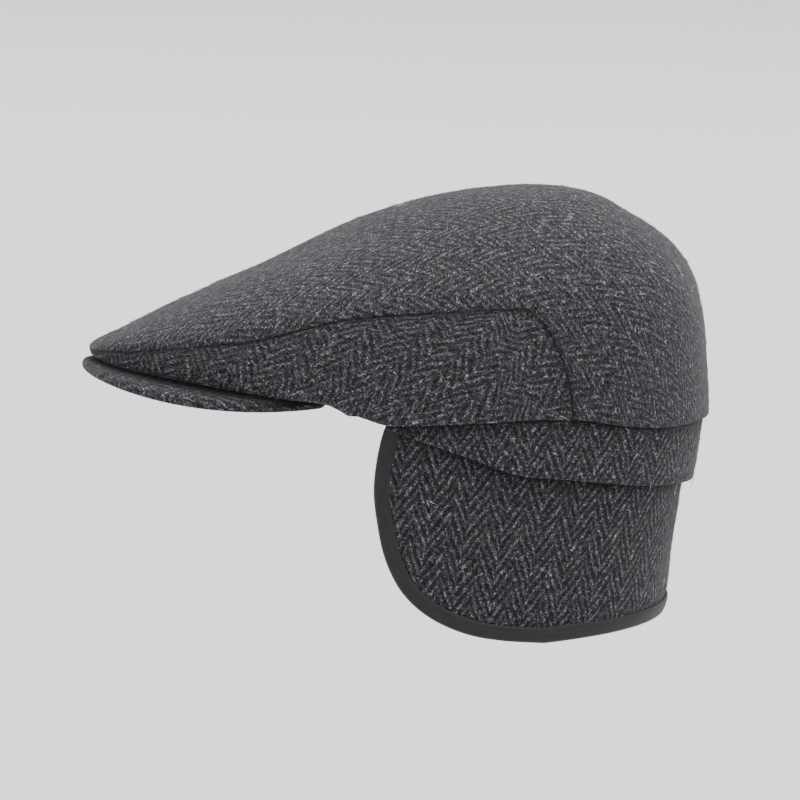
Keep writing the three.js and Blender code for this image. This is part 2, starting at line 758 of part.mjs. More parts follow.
// The flap's left half as places blended between its four edges: i runs from the front to the nape
// and j from the top to the hem.
function flapPlace(i, j) {
  const start = flapEdgePlace(0);
  const corner = flapHemPlace(0);
  const hemEnd = flapHemPlace(1);
  const topEnd = { angle: NAPE_ANGLE, level: start.level };
  const front = flapEdgePlace(FLAP_CORNER_STEP * j);
  const hem = flapHemPlace(i);
  const blend = (name) => {
    const top = mix(start[name], topEnd[name], i);
    const nape = mix(topEnd[name], hemEnd[name], j);
    const edges = mix(top, hem[name], j) + mix(front[name], nape, i);
    return edges - mix(mix(start[name], topEnd[name], i), mix(corner[name], hemEnd[name], i), j);
  };
  return { angle: blend('angle'), level: blend('level') };
}

function flapGrid() {
  const grid = [];
  for (let i = -FLAP_COLUMNS; i <= FLAP_COLUMNS; i += 1) {
    const share = 1 - Math.abs(i) / FLAP_COLUMNS;
    const column = [];
    for (let j = 0; j <= FLAP_ROWS; j += 1) {
      const place = flapPlace(share, j / FLAP_ROWS);
      const point = flapPoint(place.angle, place.level);
      point.x *= -Math.sign(i) || 0;
      column.push(point);
    }
    grid.push(column);
  }
  return grid;
}

// The binding folds over the flap's edge like a channel, open towards the cloth.
function bindingBody(outer, inner) {
  const sections = [];
  const path = bindingPath(outer, inner);
  path.forEach((place, index) => {
    const before = path[Math.max(0, index - 1)].middle;
    const after = path[Math.min(path.length - 1, index + 1)].middle;
    const tangent = new THREE.Vector3().subVectors(after, before).normalize();
    const leaning = place.normal.dot(tangent);
    const normal = place.normal.clone().addScaledVector(tangent, -leaning).normalize();
    const inward = new THREE.Vector3().crossVectors(normal, tangent).normalize();
    sections.push(bindingSection(place.middle, normal, inward));
  });
  return sweptBody(sections);
}

function bindingSection(middle, normal, inward) {
  const slot = FLAP_CLOTH / 2 + BINDING_SLOT_GAP;
  const face = slot + BINDING_CLOTH;
  const deep = BINDING_WIDTH - BINDING_CLOTH - LAYER_GAP;
  const back = -(LAYER_GAP + BINDING_CLOTH);
  const outside = [
    { out: face, deepness: deep },
    { out: face, deepness: back + BINDING_BEVEL },
    { out: face - BINDING_BEVEL, deepness: back },
  ];
  const inside = [
    { out: slot, deepness: deep },
    { out: slot, deepness: 0 },
    { out: slot, deepness: -LAYER_GAP },
  ];
  const place = ({ out, deepness }, side) => middle.clone()
    .addScaledVector(normal, side * out)
    .addScaledVector(inward, deepness);
  return [
    ...outside.map((corner) => place(corner, 1)),
    ...outside.map((corner) => place(corner, -1)).reverse(),
    ...inside.map((corner) => place(corner, -1)),
    ...inside.map((corner) => place(corner, 1)).reverse(),
  ];
}

// Mid-line of the flap's free edge, with the cloth's normal, from the left front to the right front.
function bindingPath(outer, inner) {
  const places = [];
  const add = (i, j) => {
    const middle = outer[i][j].clone().add(inner[i][j]).multiplyScalar(0.5);
    const normal = outer[i][j].clone().sub(inner[i][j]).normalize();
    places.push({ middle, normal });
  };
  const last = outer.length - 1;
  for (let j = 0; j <= FLAP_ROWS; j += 1) add(0, j);
  for (let i = 1; i < last; i += 1) add(i, FLAP_ROWS);
  for (let j = FLAP_ROWS; j >= 0; j -= 1) add(last, j);
  return places;
}

const TWEED = { color: 0x4c4b4f, roughness: 0.95, metalness: 0 };
const BINDING = { color: 0x2f2f32, roughness: 0.8, metalness: 0 };

const cap = new THREE.Group();

function addPiece(name, geometry, finish) {
  const piece = new THREE.Mesh(geometry, new THREE.MeshStandardMaterial(finish));
  piece.name = name;
  cap.add(piece);
}

const seam = seamLine();
addPiece('top_panel', topPanel(seam), TWEED);

const leftSide = sidePanelGrid(seam);
addPiece('side_panel_left', sheetBody(leftSide.outer, leftSide.inner), TWEED);
addPiece('side_panel_right', sheetBody(mirrored(leftSide.outer), mirrored(leftSide.inner)), TWEED);

addPiece('peak', peakBody(), TWEED);

const band = bandGrid();
addPiece('band', sheetBody(band, offsetGrid(band, gridNormals(band), BAND_CLOTH)), TWEED);

const flap = flapGrid();
const flapInside = offsetGrid(flap, gridNormals(flap), FLAP_CLOTH);
addPiece('ear_flap', sheetBody(flap, flapInside), TWEED);
addPiece('flap_binding', bindingBody(flap, flapInside), BINDING);

export default cap;
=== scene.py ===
import math

import bmesh
import bpy
import numpy as np
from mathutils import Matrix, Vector
from mathutils.kdtree import KDTree


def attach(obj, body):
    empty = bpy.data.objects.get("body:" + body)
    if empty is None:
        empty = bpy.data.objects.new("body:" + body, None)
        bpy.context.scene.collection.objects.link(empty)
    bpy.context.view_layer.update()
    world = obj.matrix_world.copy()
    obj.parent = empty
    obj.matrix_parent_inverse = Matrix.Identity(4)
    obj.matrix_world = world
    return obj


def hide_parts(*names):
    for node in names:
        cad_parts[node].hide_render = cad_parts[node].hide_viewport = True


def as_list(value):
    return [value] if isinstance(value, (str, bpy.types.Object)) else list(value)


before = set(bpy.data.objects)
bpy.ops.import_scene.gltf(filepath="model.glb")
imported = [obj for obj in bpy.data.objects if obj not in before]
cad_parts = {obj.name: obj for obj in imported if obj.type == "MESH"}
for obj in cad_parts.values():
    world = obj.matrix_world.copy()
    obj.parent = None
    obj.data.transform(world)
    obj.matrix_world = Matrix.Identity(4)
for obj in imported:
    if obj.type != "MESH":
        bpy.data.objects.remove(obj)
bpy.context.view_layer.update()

MM = 0.001
SEED = 20
MIRROR = np.array([-1, 1, 1])

# Crown sizes
CROWN_HEIGHT = 101.2
CROWN_TOP_Y = 26
CROWN_WIDEST_Y = 10
CROWN_NOSE_Y = -172
CROWN_BACK_Y = 105.3
CROWN_HALF_WIDTH = 88.5
SEAM_SIDE_HEIGHT = 50.7
SEAM_NOSE_HEIGHT = 27.6
RIM_WAVE = 3.6
FOLD_RADIUS = 2.3
FOLD_CLIMB = 4
BACK_SQUARENESS = 0.055
FRONT_DOME_POWER = 1.3
BACK_DOME_POWER = 1.5

# Peak and forehead sizes
PEAK_MIDDLE_Y = -92
PEAK_HALF_WIDTH = 74
PEAK_REACH = 83
PEAK_TOP_HEIGHT = 23.7
PEAK_ARCH = 14
PEAK_CORNER_ANGLE = 108
PEAK_INNER_ANGLE = 50
PEAK_THICKNESS = 4.5
PEAK_SEAT_GAP = 0.4
HEADLINE_FRONT_Y = -99
HEADLINE_HALF_WIDTH = 82

# Band, flap and binding sizes
BAND_DEPTH = 29.5
BAND_BACK_TAPER = 4.6
BAND_SIDE_TAPER = 1
BAND_FRONT_ANGLE = 75.2
BAND_HIDDEN_HEIGHT = 6
BAND_HEAD_EASE = 0.5
FLAP_DROP = 92.2
FLAP_FRONT_Y = -40.8
FLAP_NAPE_RISE = 6
NAPE_RISE_EASE = 0.5
FLAP_BACK_TAPER = 16
FLAP_SIDE_TAPER = 4.5
BINDING_WIDTH = 7

# Thicknesses and clearances
CROWN_CLOTH = 1.8
BAND_CLOTH = 1.6
FLAP_CLOTH = 2
BINDING_CLOTH = 0.9
SEAM_OVERLAP = 0.24
LAYER_GAP = 0.5
BINDING_SLOT_GAP = 0.5
FOLD_CLEARANCE = 0.9
TEMPLE_CLEARANCE = 1.4

# Angles round the crown, in degrees from the nose
TURN_START_ANGLE = 64
TURN_END_ANGLE = 72
RIM_BLEND_START_ANGLE = 66
RIM_BLEND_END_ANGLE = 76.5
SEAM_CORNER_ANGLE = 98.5
SEAM_FOOT_ANGLE = 109.7
SEAM_FALL_POWER = 2.2
TEMPLE_START_ANGLE = 40
TEMPLE_END_ANGLE = 60
TURN_FOOT_ANGLE = 77
TURN_FOOT_REACHED = 82
TURN_FOOT_POWER = 2.1
WIDEST_ANGLE = 90
NAPE_ANGLE = 180

# Profiles of the crown from its highest point (ring 0) to its lower edge (ring 1)
RINGS = [0, 0.1, 0.2, 0.3, 0.4, 0.5, 0.6, 0.7, 0.8, 0.9, 1]
NOSE_RUN = [0, 0.152, 0.3, 0.45, 0.59, 0.728, 0.862, 0.95, 0.991, 1, 0.998]
NOSE_RISE = [1, 0.977, 0.912, 0.801, 0.67, 0.55, 0.431, 0.345, 0.305, 0.278, 0.262]
SIDE_RUN = [0, 0.16, 0.325, 0.49, 0.64, 0.78, 0.895, 0.972, 1, 0.995, 0.955]
SIDE_RISE = [1, 0.995, 0.974, 0.932, 0.868, 0.782, 0.672, 0.56, 0.43, 0.23, 0.02]
BACK_RUN = [0, 0.14, 0.275, 0.4, 0.53, 0.655, 0.785, 0.893, 0.958, 0.987, 1]
BACK_RISE = [1, 0.994, 0.978, 0.945, 0.886, 0.828, 0.743, 0.625, 0.46, 0.24, 0]
SHIFT = [0, 0.17, 0.34, 0.5, 0.66, 0.82, 0.94, 1, 1, 1, 1]

SEAM_CLIMB = {
    "angle": [0, 26, 39, 49, 56, 61, 67.5, 73.5, 81, 88, 98.5],
    "climb": [0, 0.04, 0.15, 0.27, 0.38, 0.53, 0.745, 0.85, 0.92, 0.98, 1],
}
RIM_LEVELS = {
    "angle": [64, 78, 88, 97, 107, 114, 120, 127, 135, 146, 160, 180],
    "level": [0.2, 0.18, 0.6, 0.95, 1, 0.8, 0.3, -0.1, -0.4, -0.36, -0.2, 0],
}
BAND_LEVELS = {
    "angle": [74, 76, 79, 82, 86.5, 91, 99, 108, 118, 133, 149, 180],
    "depth": [0, 0.05, 0.17, 0.27, 0.44, 0.6, 0.71, 0.75, 0.81, 0.9, 0.945, 1],
}
FLAP_EDGE = {
    "step": [0, 0.1, 0.2, 0.32, 0.43, 0.58, 0.72, 0.86, 1, 1.16, 1.5],
    "run": [0.87, 0.93, 0.98, 1, 0.975, 0.91, 0.78, 0.575, 0.306, 0.02, -0.53],
    "drop": [-0.035, 0.05, 0.18, 0.31, 0.44, 0.61, 0.76, 0.87, 0.944, 0.981, 1],
}
FLAP_LEAN = {"drop": [0, 0.33, 0.66, 0.86, 1], "lean": [0, 0.37, 0.66, 0.79, 1]}
FLAP_CORNER_STEP = 0.72
FLAP_CORNER_SHARE = 0.5

# Herringbone sizes, the pattern's shift from piece to piece, and its slow drift
COLUMN_WIDTH = 7.8
TWILL_ANGLE = 29
TWILL_SPACING = 3.0
YARN_WIDTH = 0.75
FLOAT_LENGTH = 1.35
PIECE_SHIFT = (131, 57)
PATTERN_DRIFT = 2.6

# Relief of the cloth, the sRGB levels of its yarns from dark to light, and what mixes them
TWILL_RELIEF = 0.2
FLOAT_RELIEF = 0.55
SPECK_RELIEF = 0.5
YARN_TONES = [12, 23, 36, 50, 68, 96, 140]
MIDDLE_TONE = 0.41
FLOAT_STRENGTH = 1.6
HEATHER_STRENGTH = 1.05
SPECK_STRENGTH = 1.3
WOOL_TINTS = [(0.3, (0.94, 0.95, 1.03, 1)), (0.5, (1.0, 0.98, 1.0, 1)), (0.74, (1.05, 1.01, 0.90, 1))]

# Spacing of the rib in the tape, and the sRGB levels of tape, lining and hairs
RIB_SPACING = 0.7
TAPE_TONE = 26
LINING_TONE = 34
HAIR_TONES = (30, 100)
KEMP_TONES = (120, 205)

# Painted shade in creases, darkening the cloth where shade falls: strength, tone, depths in
# millimetres, the step of the points taken on the seam, and a distance beyond any crease
CREASE_SHADE_STRENGTH = 0.93
CREASE_SHADE_TONE = 8
BAND_SHADE_DEPTH = 2.2
PEAK_SHADE_DEPTH = 3.2
SEAM_SHADE_DEPTH = 0.95
SEAM_SAMPLE = 0.1
NO_CREASE = 1000

# Sewn line above the band's lower edge, and the groove under the peak along its edge
HEM_LINE_RISE = 3.8
HEM_LINE_DEPTH = 0.3
HEM_LINE_WIDTH = 0.6
PEAK_EDGE_ZONE = 8
PEAK_GROOVE_INSET = 3.2
PEAK_GROOVE_DEPTH = 0.5
PEAK_GROOVE_WIDTH = 0.8

# Stitches of the binding: sizes, how deep they sit, and how far they lie from the tape's edge
STITCH_PITCH = 3.4
STITCH_LENGTH = 2.5
STITCH_RADIUS = 0.22
STITCH_SINK = 0.28
STITCH_INSET = 1.25
STITCH_SIDES = 6

# Slow swell of the cloth, puckers and changes of width of the binding, and how many of its
# places are averaged where its direction is smoothed
SWELL_SIZES = (0.34, 0.16, 0.05)
PUCKER_SIZES = (0.07, 0.10)
BINDING_WIDTH_CHANGE = 0.02
SMOOTH_SPAN = 5

# Share of a crown column's length at which the cloth's fan angles are measured
FAN_SHARE = 0.8

# Mesh sizes: steps along the cloth, rows down a piece, and rows near a cloth edge
CLOTH_STEP = 1.5
BAND_ROW_STEP = 1.4
BINDING_STEP = 1.5
TOP_ROWS = 62
SIDE_ROWS = 52
FLAP_COLUMNS = 150
FLAP_ROWS = 70
PEAK_SECTIONS = 181
EDGE_ROWS = [0, 0.06, 0.2, 0.45, 0.9, 1.5, 2.3, 3.0, 3.6, 4.2, 4.9, 6]

# Loose wool hairs: how many, shortest and longest, radius, and how far they stand off the cloth
CROWN_HAIRS = (5500, (2.0, 6.0), 0.05, (0.1, 0.7))
FLAP_HAIRS = (3800, (2.0, 5.5), 0.05, (0.1, 0.6))
KEMP_HAIRS = (90, (2.5, 6.5), 0.12, (0.1, 0.5))
HAIR_BEND = 0.5
HAIR_ROOT_DEPTH = 0.15
HAIR_TIP_SHARE = 0.35
HAIR_SIDES = 3

# Camera at the photograph's angle, in degrees and metres
CAMERA_AZIMUTH = 91.5
CAMERA_ELEVATION = 5.3
CAMERA_DISTANCE = 1.5
CAMERA_AIM = Vector((0, -0.0327, 0.0045))
CAMERA_LENS = 150.6
SENSOR_WIDTH = 36

# Floor, in metres, and its linear grey
FLOOR_DROP = 0.32
FLOOR_PROFILE = [(4, 0), (8, 0), (9, 0.1), (9.6, 0.4), (9.9, 0.8), (10, 1.6)]
FLOOR_SIDES = 96
FLOOR_GREY = 0.6

# Suns: name, direction they come from, strength, and width in degrees
SUNS = [("key", (0.13, 0.02, 1), 5.0, 42), ("rear", (0.15, 1, 0.35), 1.1, 30)]
WORLD_STRENGTH = 1.2


def mix(low, high, share):
    return low + (high - low) * share


def smooth_step(low, high, value):
    share = np.clip((value - low) / (high - low), 0, 1)
    return share * share * (3 - 2 * share)


def curve_weights(keys, at):
    """Weights of a table's rows in a smooth curve through them, at the given keys."""
    keys = np.asarray(keys, float)
    at = np.clip(np.asarray(at, float), keys[0], keys[-1])
    last = len(keys) - 1
    slopes = np.zeros((last + 1, last + 1))
    for index in range(last + 1):
        before = max(0, index - 1)
        after = min(last, index + 1)
        run = keys[after] - keys[before]
        slopes[index, after] += 1 / run
        slopes[index, before] -= 1 / run
    row = np.clip(np.searchsorted(keys, at, side="left") - 1, 0, last - 1)
    width = keys[row + 1] - keys[row]
    share = (at - keys[row]) / width
    square = share**2
    cube = share**3
    eye = np.eye(last + 1)
    return (
        (2 * cube - 3 * square + 1)[..., None] * eye[row]
        + ((cube - 2 * square + share) * width)[..., None] * slopes[row]
        + (3 * square - 2 * cube)[..., None] * eye[row + 1]
        + ((cube - square) * width)[..., None] * slopes[row + 1]
    )


def read(table, name, at):
    columns = list(table)
    return curve_weights(table[columns[0]], at) @ np.asarray(table[name], float)


def unit(vectors):
    length = np.linalg.norm(vectors, axis=-1, keepdims=True)
    return vectors / np.maximum(length, 1e-9)


def ring_sizes(weights):
    """Half width, middle, front and back of the crown's plan, from ring weights."""
    return (
        CROWN_HALF_WIDTH * (weights @ np.array(SIDE_RUN)),
        mix(CROWN_TOP_Y, CROWN_WIDEST_Y, weights @ np.array(SHIFT)),
        mix(CROWN_TOP_Y, CROWN_NOSE_Y, weights @ np.array(NOSE_RUN)),
        mix(CROWN_TOP_Y, CROWN_BACK_Y, weights @ np.array(BACK_RUN)),
    )


def plan_point(angle, half_width, middle_y, front_y, back_y):
    turn = np.radians(angle)
    across = np.sin(turn)
    along = np.cos(turn)
    front = along >= 0
    square = np.where(front, 1, 1 + BACK_SQUARENESS * np.sin(2 * turn) ** 2)
    reach = np.where(front, front_y - middle_y, middle_y - back_y)
    return half_width * across * square, middle_y + reach * along * square


def peak_top(x):
    return PEAK_TOP_HEIGHT - PEAK_ARCH * (x / PEAK_HALF_WIDTH) ** 2


def lower_edge_level(angle):
    across = np.sin(np.radians(np.minimum(angle, WIDEST_ANGLE)))
    fold_x = (CROWN_HALF_WIDTH * SIDE_RUN[-1] - FOLD_RADIUS) * across
    over_peak = peak_top(fold_x) + FOLD_CLEARANCE
    free = RIM_WAVE * read(RIM_LEVELS, "level", angle)
    return mix(over_peak, free, smooth_step(RIM_BLEND_START_ANGLE, RIM_BLEND_END_ANGLE, angle))


def turn_under_share(angle):
    return 1 - smooth_step(TURN_START_ANGLE, TURN_END_ANGLE, angle)


def rim_level(angle):
    return lower_edge_level(angle) + FOLD_RADIUS * turn_under_share(angle)


def crown_point(angle, ring):
    """The crown's outer surface."""
    angle, ring = np.broadcast_arrays(np.asarray(angle, float), np.asarray(ring, float))
    weights = curve_weights(RINGS, ring)
    x, y = plan_point(angle, *ring_sizes(weights))
    along = np.cos(np.radians(angle))
    front = along >= 0
    power = np.where(front, FRONT_DOME_POWER, BACK_DOME_POWER)
    share = np.abs(along) ** power
    rises = np.where(front[..., None], np.array(NOSE_RISE), np.array(BACK_RISE))
    levels = CROWN_HEIGHT * mix(np.array(SIDE_RISE), rises, share[..., None])
    levels[..., -1] = rim_level(angle)
    return np.stack([x, y, (weights * levels).sum(-1)], -1)


def ring_at_level(angle, level, low_ring, high_ring):
    low = np.full(np.shape(angle), float(low_ring))
    high = np.full(np.shape(angle), float(high_ring))
    for _ in range(26):
        middle = (low + high) / 2
        above = crown_point(angle, middle)[..., 2] > level
        low = np.where(above, middle, low)
        high = np.where(above, high, middle)
    return high


def seam_ring(angle):
    level = mix(SEAM_NOSE_HEIGHT, SEAM_SIDE_HEIGHT, read(SEAM_CLIMB, "climb", angle))
    return ring_at_level(angle, level, 0.55, 0.98)


def headline_point(angle):
    turn = np.radians(angle)
    x = HEADLINE_HALF_WIDTH * np.sin(turn)
    y = CROWN_WIDEST_Y + (HEADLINE_FRONT_Y - CROWN_WIDEST_Y) * np.cos(turn)
    return np.stack([x, y, np.zeros_like(x)], -1)


def column_angle(share, drop):
    fall = 1 - (1 - drop) ** SEAM_FALL_POWER
    return mix(SEAM_CORNER_ANGLE * share, SEAM_FOOT_ANGLE * share, fall)


def lengths_along(points):
    steps = np.linalg.norm(np.diff(points, axis=0), axis=-1)
    return np.concatenate([[0], np.cumsum(steps)])


def values_at(wanted, sums, values):
    """Rows of three values, read between the given places along a line."""
    return np.stack([np.interp(wanted, sums, values[:, axis]) for axis in range(3)], -1)


def points_at(points, wanted):
    """Points of a polyline at the given distances along it."""
    return values_at(wanted, lengths_along(points), points)


def edge_spread(total, step, at_start=True, at_end=True):
    """Distances from 0 to total, close together near the ends that are cloth edges."""
    rows = np.array(EDGE_ROWS) * min(1, total / (3 * EDGE_ROWS[-1]))
    start = rows[-1] if at_start else 0
    end = total - (rows[-1] if at_end else 0)
    inner = np.linspace(start, end, max(3, int(round(total / step)) + 1))
    parts = [inner]
    if at_start:
        parts.insert(0, rows[:-1])
    if at_end:
        parts.append(total - rows[:-1][::-1])
    return np.concatenate(parts)


def cloth_swell(points):
    """Slow unevenness of hand-sewn cloth, the same wherever two pieces meet."""
    x, y, z = points[..., 0], points[..., 1], points[..., 2]
    slow = np.sin(x / 17 + 0.7 * np.sin(y / 23)) * np.sin(y / 21 + 0.6 * np.sin(z / 14) + 1.3)
    middle = np.sin(y / 8.5 + z / 11 + 0.4) * np.sin(z / 7.5 - x / 13 + 2.1)
    fine = np.sin(y / 3.1 + 1.7 * np.sin(z / 4.3)) * np.sin(z / 2.7 + x / 3.9)
    return sum(size * wave for size, wave in zip(SWELL_SIZES, (slow, middle, fine)))


def grid_normals(grid, closed=False):
    if closed:
        round_step = np.roll(grid, -1, 0) - np.roll(grid, 1, 0)
    else:
        round_step = np.gradient(grid, axis=0)
    down_step = np.gradient(grid, axis=1)
    return unit(np.cross(down_step, round_step))


def edge_roll(distance, radius):
    """How far a face falls away towards a rounded cloth edge."""
    left = radius - np.minimum(distance, radius)
    return radius - np.sqrt(np.maximum(radius**2 - left**2, 0))


def border_distance(grid, hub):
    """Distance of each grid point from the nearest open edge, along the grid's own lines."""
    rows = np.linalg.norm(np.diff(grid, axis=1), axis=-1)
    down = np.concatenate([np.zeros((grid.shape[0], 1)), np.cumsum(rows, 1)], 1)
    up = down[:, -1:] - down
    if hub:
        return up
    columns = np.linalg.norm(np.diff(grid, axis=0), axis=-1)
    over = np.concatenate([np.zeros((1, grid.shape[1])), np.cumsum(columns, 0)], 0)
    return np.minimum(np.minimum(down, up), np.minimum(over, over[-1:] - over))


def linked(name, data):
    """A new object of the scene."""
    made = bpy.data.objects.new(name, data)
    bpy.context.scene.collection.objects.link(made)
    return made


def mesh_piece(name, points, faces, uvs, materials, which=None):
    """A mesh object in metres from points in millimetres, with cloth coordinates per point."""
    mesh = bpy.data.meshes.new(name)
    mesh.from_pydata((np.asarray(points) * MM).tolist(), [], faces)
    mesh.polygons.foreach_set("use_smooth", [True] * len(mesh.polygons))
    corners = np.zeros(len(mesh.loops), int)
    mesh.loops.foreach_get("vertex_index", corners)
    layer = mesh.uv_layers.new(name="Cloth")
    layer.data.foreach_set("uv", np.asarray(uvs, np.float32)[corners].ravel())
    for material in materials:
        mesh.materials.append(material)
    if which is not None:
        mesh.polygons.foreach_set("material_index", np.asarray(which, np.int32))
    mesh.validate()
    mesh.update()
    return linked(name, mesh)


def quads(here, after):
    """Quads between neighbouring lines of a grid."""
    corners = [here[:, :-1], here[:, 1:], after[:, 1:], after[:, :-1]]
    return np.stack(corners, -1).reshape(-1, 4)


def shell_piece(name, grid, uv, thickness, material, hub=False):
    """A sheet of cloth as a closed shell with rounded edges. The grid is its outer face.

    A piece with a hub runs all the way round its first point.
    """
    normals = grid_normals(grid, hub)
    if hub:
        normals[:, 0] = (0, 0, 1)
    distance = border_distance(grid, hub)
    radius = thickness / 2
    roll = edge_roll(distance, radius)
    inset = np.clip(distance / radius, 0, 1)
    outer = grid - normals * (roll - cloth_swell(grid) * inset)[..., None]
    inner = grid - normals * (thickness - roll - cloth_swell(grid) * inset)[..., None]
    columns, rows = grid.shape[:2]
    points = np.concatenate([outer.reshape(-1, 3), inner.reshape(-1, 3)])
    uvs = np.concatenate([uv.reshape(-1, 2)] * 2)
    count = columns * rows
    index = np.arange(count).reshape(columns, rows)
    after = np.roll(index, -1, 0) if hub else index[1:]
    here = index if hub else index[:-1]
    start = int(hub)
    outside = quads(here[:, start:], after[:, start:])
    inside = outside[:, ::-1] + count
    faces = outside.tolist() + inside.tolist()
    which = [0] * len(outside) + [1] * len(inside)
    if hub:
        which += [0, 1] * len(here)
        for first, second in zip(here, after):
            faces.append([first[0], first[1], second[1]])
            faces.append([second[1] + count, first[1] + count, first[0] + count])
    piece = mesh_piece(name, points, faces, uvs, [material, lining], which)
    weld(piece)
    return piece, (outer, normals)


def weld(piece):
    """Joins the two faces along their shared edge line."""
    joined = bmesh.new()
    joined.from_mesh(piece.data)
    bmesh.ops.remove_doubles(joined, verts=joined.verts, dist=0.00001)
    bmesh.ops.dissolve_degenerate(joined, edges=joined.edges, dist=0.000001)
    joined.to_mesh(piece.data)
    joined.free()
    piece.data.update()


def dense_seam():
    """The left seam as places (angle, fan angle, ring), from the nose to the nape's rim."""
    angle = np.linspace(0, SEAM_CORNER_ANGLE, 400)
    ring = seam_ring(angle)
    top = np.stack([angle, angle, ring], -1)
    drop = np.linspace(0, 1, 200)
    fan = mix(SEAM_CORNER_ANGLE, SEAM_FOOT_ANGLE, drop)
    fall = np.stack([column_angle(1, drop), fan, mix(ring[-1], 1, drop)], -1)
    back = np.linspace(SEAM_FOOT_ANGLE, NAPE_ANGLE, 200)
    rim = np.stack([back, back, np.ones_like(back)], -1)
    return top, fall, rim


def path_sums(places):
    return lengths_along(crown_point(places[:, 0], places[:, 2]))


def resampled(places, wanted):
    """Places at given distances along the crown's surface."""
    return values_at(wanted, path_sums(places), places)


def even_places(places, step):
    total = path_sums(places)[-1]
    return resampled(places, np.linspace(0, total, int(round(total / step)) + 1))


def top_panel_grid(step):
    """The top panel: columns fan out from the highest point to the seam and the rim."""
    top, fall, rim = (even_places(part, step) for part in dense_seam())
    half = np.concatenate([top, fall[1:], rim[1:]])
    boundary = crown_point(half[:, 0], half[:, 2])
    tangent = unit(np.gradient(boundary, axis=0))
    tangent[0] = (1, 0, 0)
    inside = crown_point(half[:, 0], half[:, 2] - 0.01) - boundary
    inside = unit(inside - tangent * (inside * tangent).sum(-1, keepdims=True))
    seam_places = len(top) + len(fall) - 1
    boundary[:seam_places] -= inside[:seam_places] * SEAM_OVERLAP / 2
    share = np.linspace(0, 1, 220)
    lines = []
    for place, edge in zip(half, boundary):
        line = crown_point(mix(place[1], place[0], share**3), place[2] * share)
        line[-1] = edge
        lines.append(line)
    reach = np.array([lengths_along(line)[-1] for line in lines])
    wide = [0.0]
    for k in range(len(lines) - 1):
        radius = FAN_SHARE * min(reach[k], reach[k + 1])
        gap = points_at(lines[k + 1], [radius]) - points_at(lines[k], [radius])
        wide.append(np.linalg.norm(gap) / radius)
    fan = np.cumsum(wide)
    fan *= math.pi / fan[-1]
    spread = [edge_spread(total, total / TOP_ROWS, at_start=False) for total in reach]
    left = np.array([points_at(line, wanted) for line, wanted in zip(lines, spread)])
    left_uv = np.array(
        [np.stack([wanted * np.sin(t), wanted * np.cos(t)], -1) for wanted, t in zip(spread, fan)]
    )
    right = left[1:-1][::-1] * MIRROR
    right_uv = left_uv[1:-1][::-1] * np.array([-1, 1])
    return np.concatenate([left, right]), np.concatenate([left_uv, right_uv])


def side_column(share, top_ring):
    """A side panel's column: down the wall, round the fold and back to the forehead line."""
    drop = np.linspace(0, 1, 120)
    wall = crown_point(column_angle(share, drop), mix(top_ring, 1, drop))
    foot = SEAM_FOOT_ANGLE * share
    under = float(turn_under_share(foot))
    if under <= 0:
        return wall
    end = headline_point(np.array(TURN_FOOT_ANGLE * (foot / TURN_FOOT_REACHED) ** TURN_FOOT_POWER))
    rim = wall[-1]
    inward = unit((end - rim) * np.array([1, 1, 0]))
    turn = np.radians(np.linspace(0, 90, 14)[1:])[:, None]
    fold = rim + inward * FOLD_RADIUS * (1 - np.cos(turn))
    fold[:, 2] -= FOLD_RADIUS * np.sin(turn[:, 0])
    start = fold[-1]
    share_back = np.linspace(0, 1, 60)[1:]
    back = start + (end - start) * share_back[:, None]
    length = np.linalg.norm((end - start)[:2])
    temple = smooth_step(TEMPLE_START_ANGLE, TEMPLE_END_ANGLE, foot)
    seat = mix(PEAK_SEAT_GAP, TEMPLE_CLEARANCE, temple)
    resting = peak_top(back[:, 0]) + mix(FOLD_CLEARANCE, seat, share_back)
    back[:, 2] = mix(start[2], resting, smooth_step(0, FOLD_CLIMB, share_back * length))
    turned = np.concatenate([fold, back])
    kept = max(1, int(round(len(turned) * under)))
    return np.concatenate([wall, turned[:kept]])


def side_panel_grid(step):
    top, fall, _ = dense_seam()
    wanted = edge_spread(path_sums(top)[-1], step)
    places = resampled(top, wanted)
    columns = []
    uvs = []
    for position, place in zip(wanted, places):
        line = side_column(place[0] / SEAM_CORNER_ANGLE, place[2])
        length = lengths_along(line)[-1]
        rows = edge_spread(length, length / SIDE_ROWS)
        columns.append(points_at(line, rows))
        uvs.append(np.stack([rows, np.full_like(rows, position)], -1))
    grid = np.array(columns)
    uv = np.array(uvs)
    grid[:, 0] -= unit(grid[:, 2] - grid[:, 0]) * SEAM_OVERLAP / 2
    grid[-1] -= unit(grid[-4] - grid[-1]) * SEAM_OVERLAP / 2
    grid[0, :, 0] = -SEAM_OVERLAP / 2
    return grid, uv


def layer_point(angle, level, set_in, side_taper, back_taper):
    """Plan of a layer inside the crown's lower edge, set in from the crown's outside."""
    inside = level > rim_level(angle)
    ring = np.where(inside, ring_at_level(angle, level, 0.7, 1), 1.0)
    half_width, middle_y, _, back_y = ring_sizes(curve_weights(RINGS, ring))
    front_y = ring_sizes(curve_weights(RINGS, np.ones_like(ring)))[2]
    x, y = plan_point(
        angle, half_width - set_in - side_taper, middle_y, front_y, back_y - set_in - back_taper
    )
    return np.stack([x, y, level], -1)


def head_ease(angle, level):
    return BAND_HEAD_EASE * np.clip((level - lower_edge_level(angle)) / BAND_HIDDEN_HEIGHT, 0, 1)


def whole_round(half_points, half_uv):
    """Adds the wearer's right half to a left half that ends at the nape's middle."""
    right = half_points[::-1][1:] * MIRROR
    right_uv = half_uv[::-1][1:] * np.array([-1, 1])
    return np.concatenate([half_points, right]), np.concatenate([half_uv, right_uv])


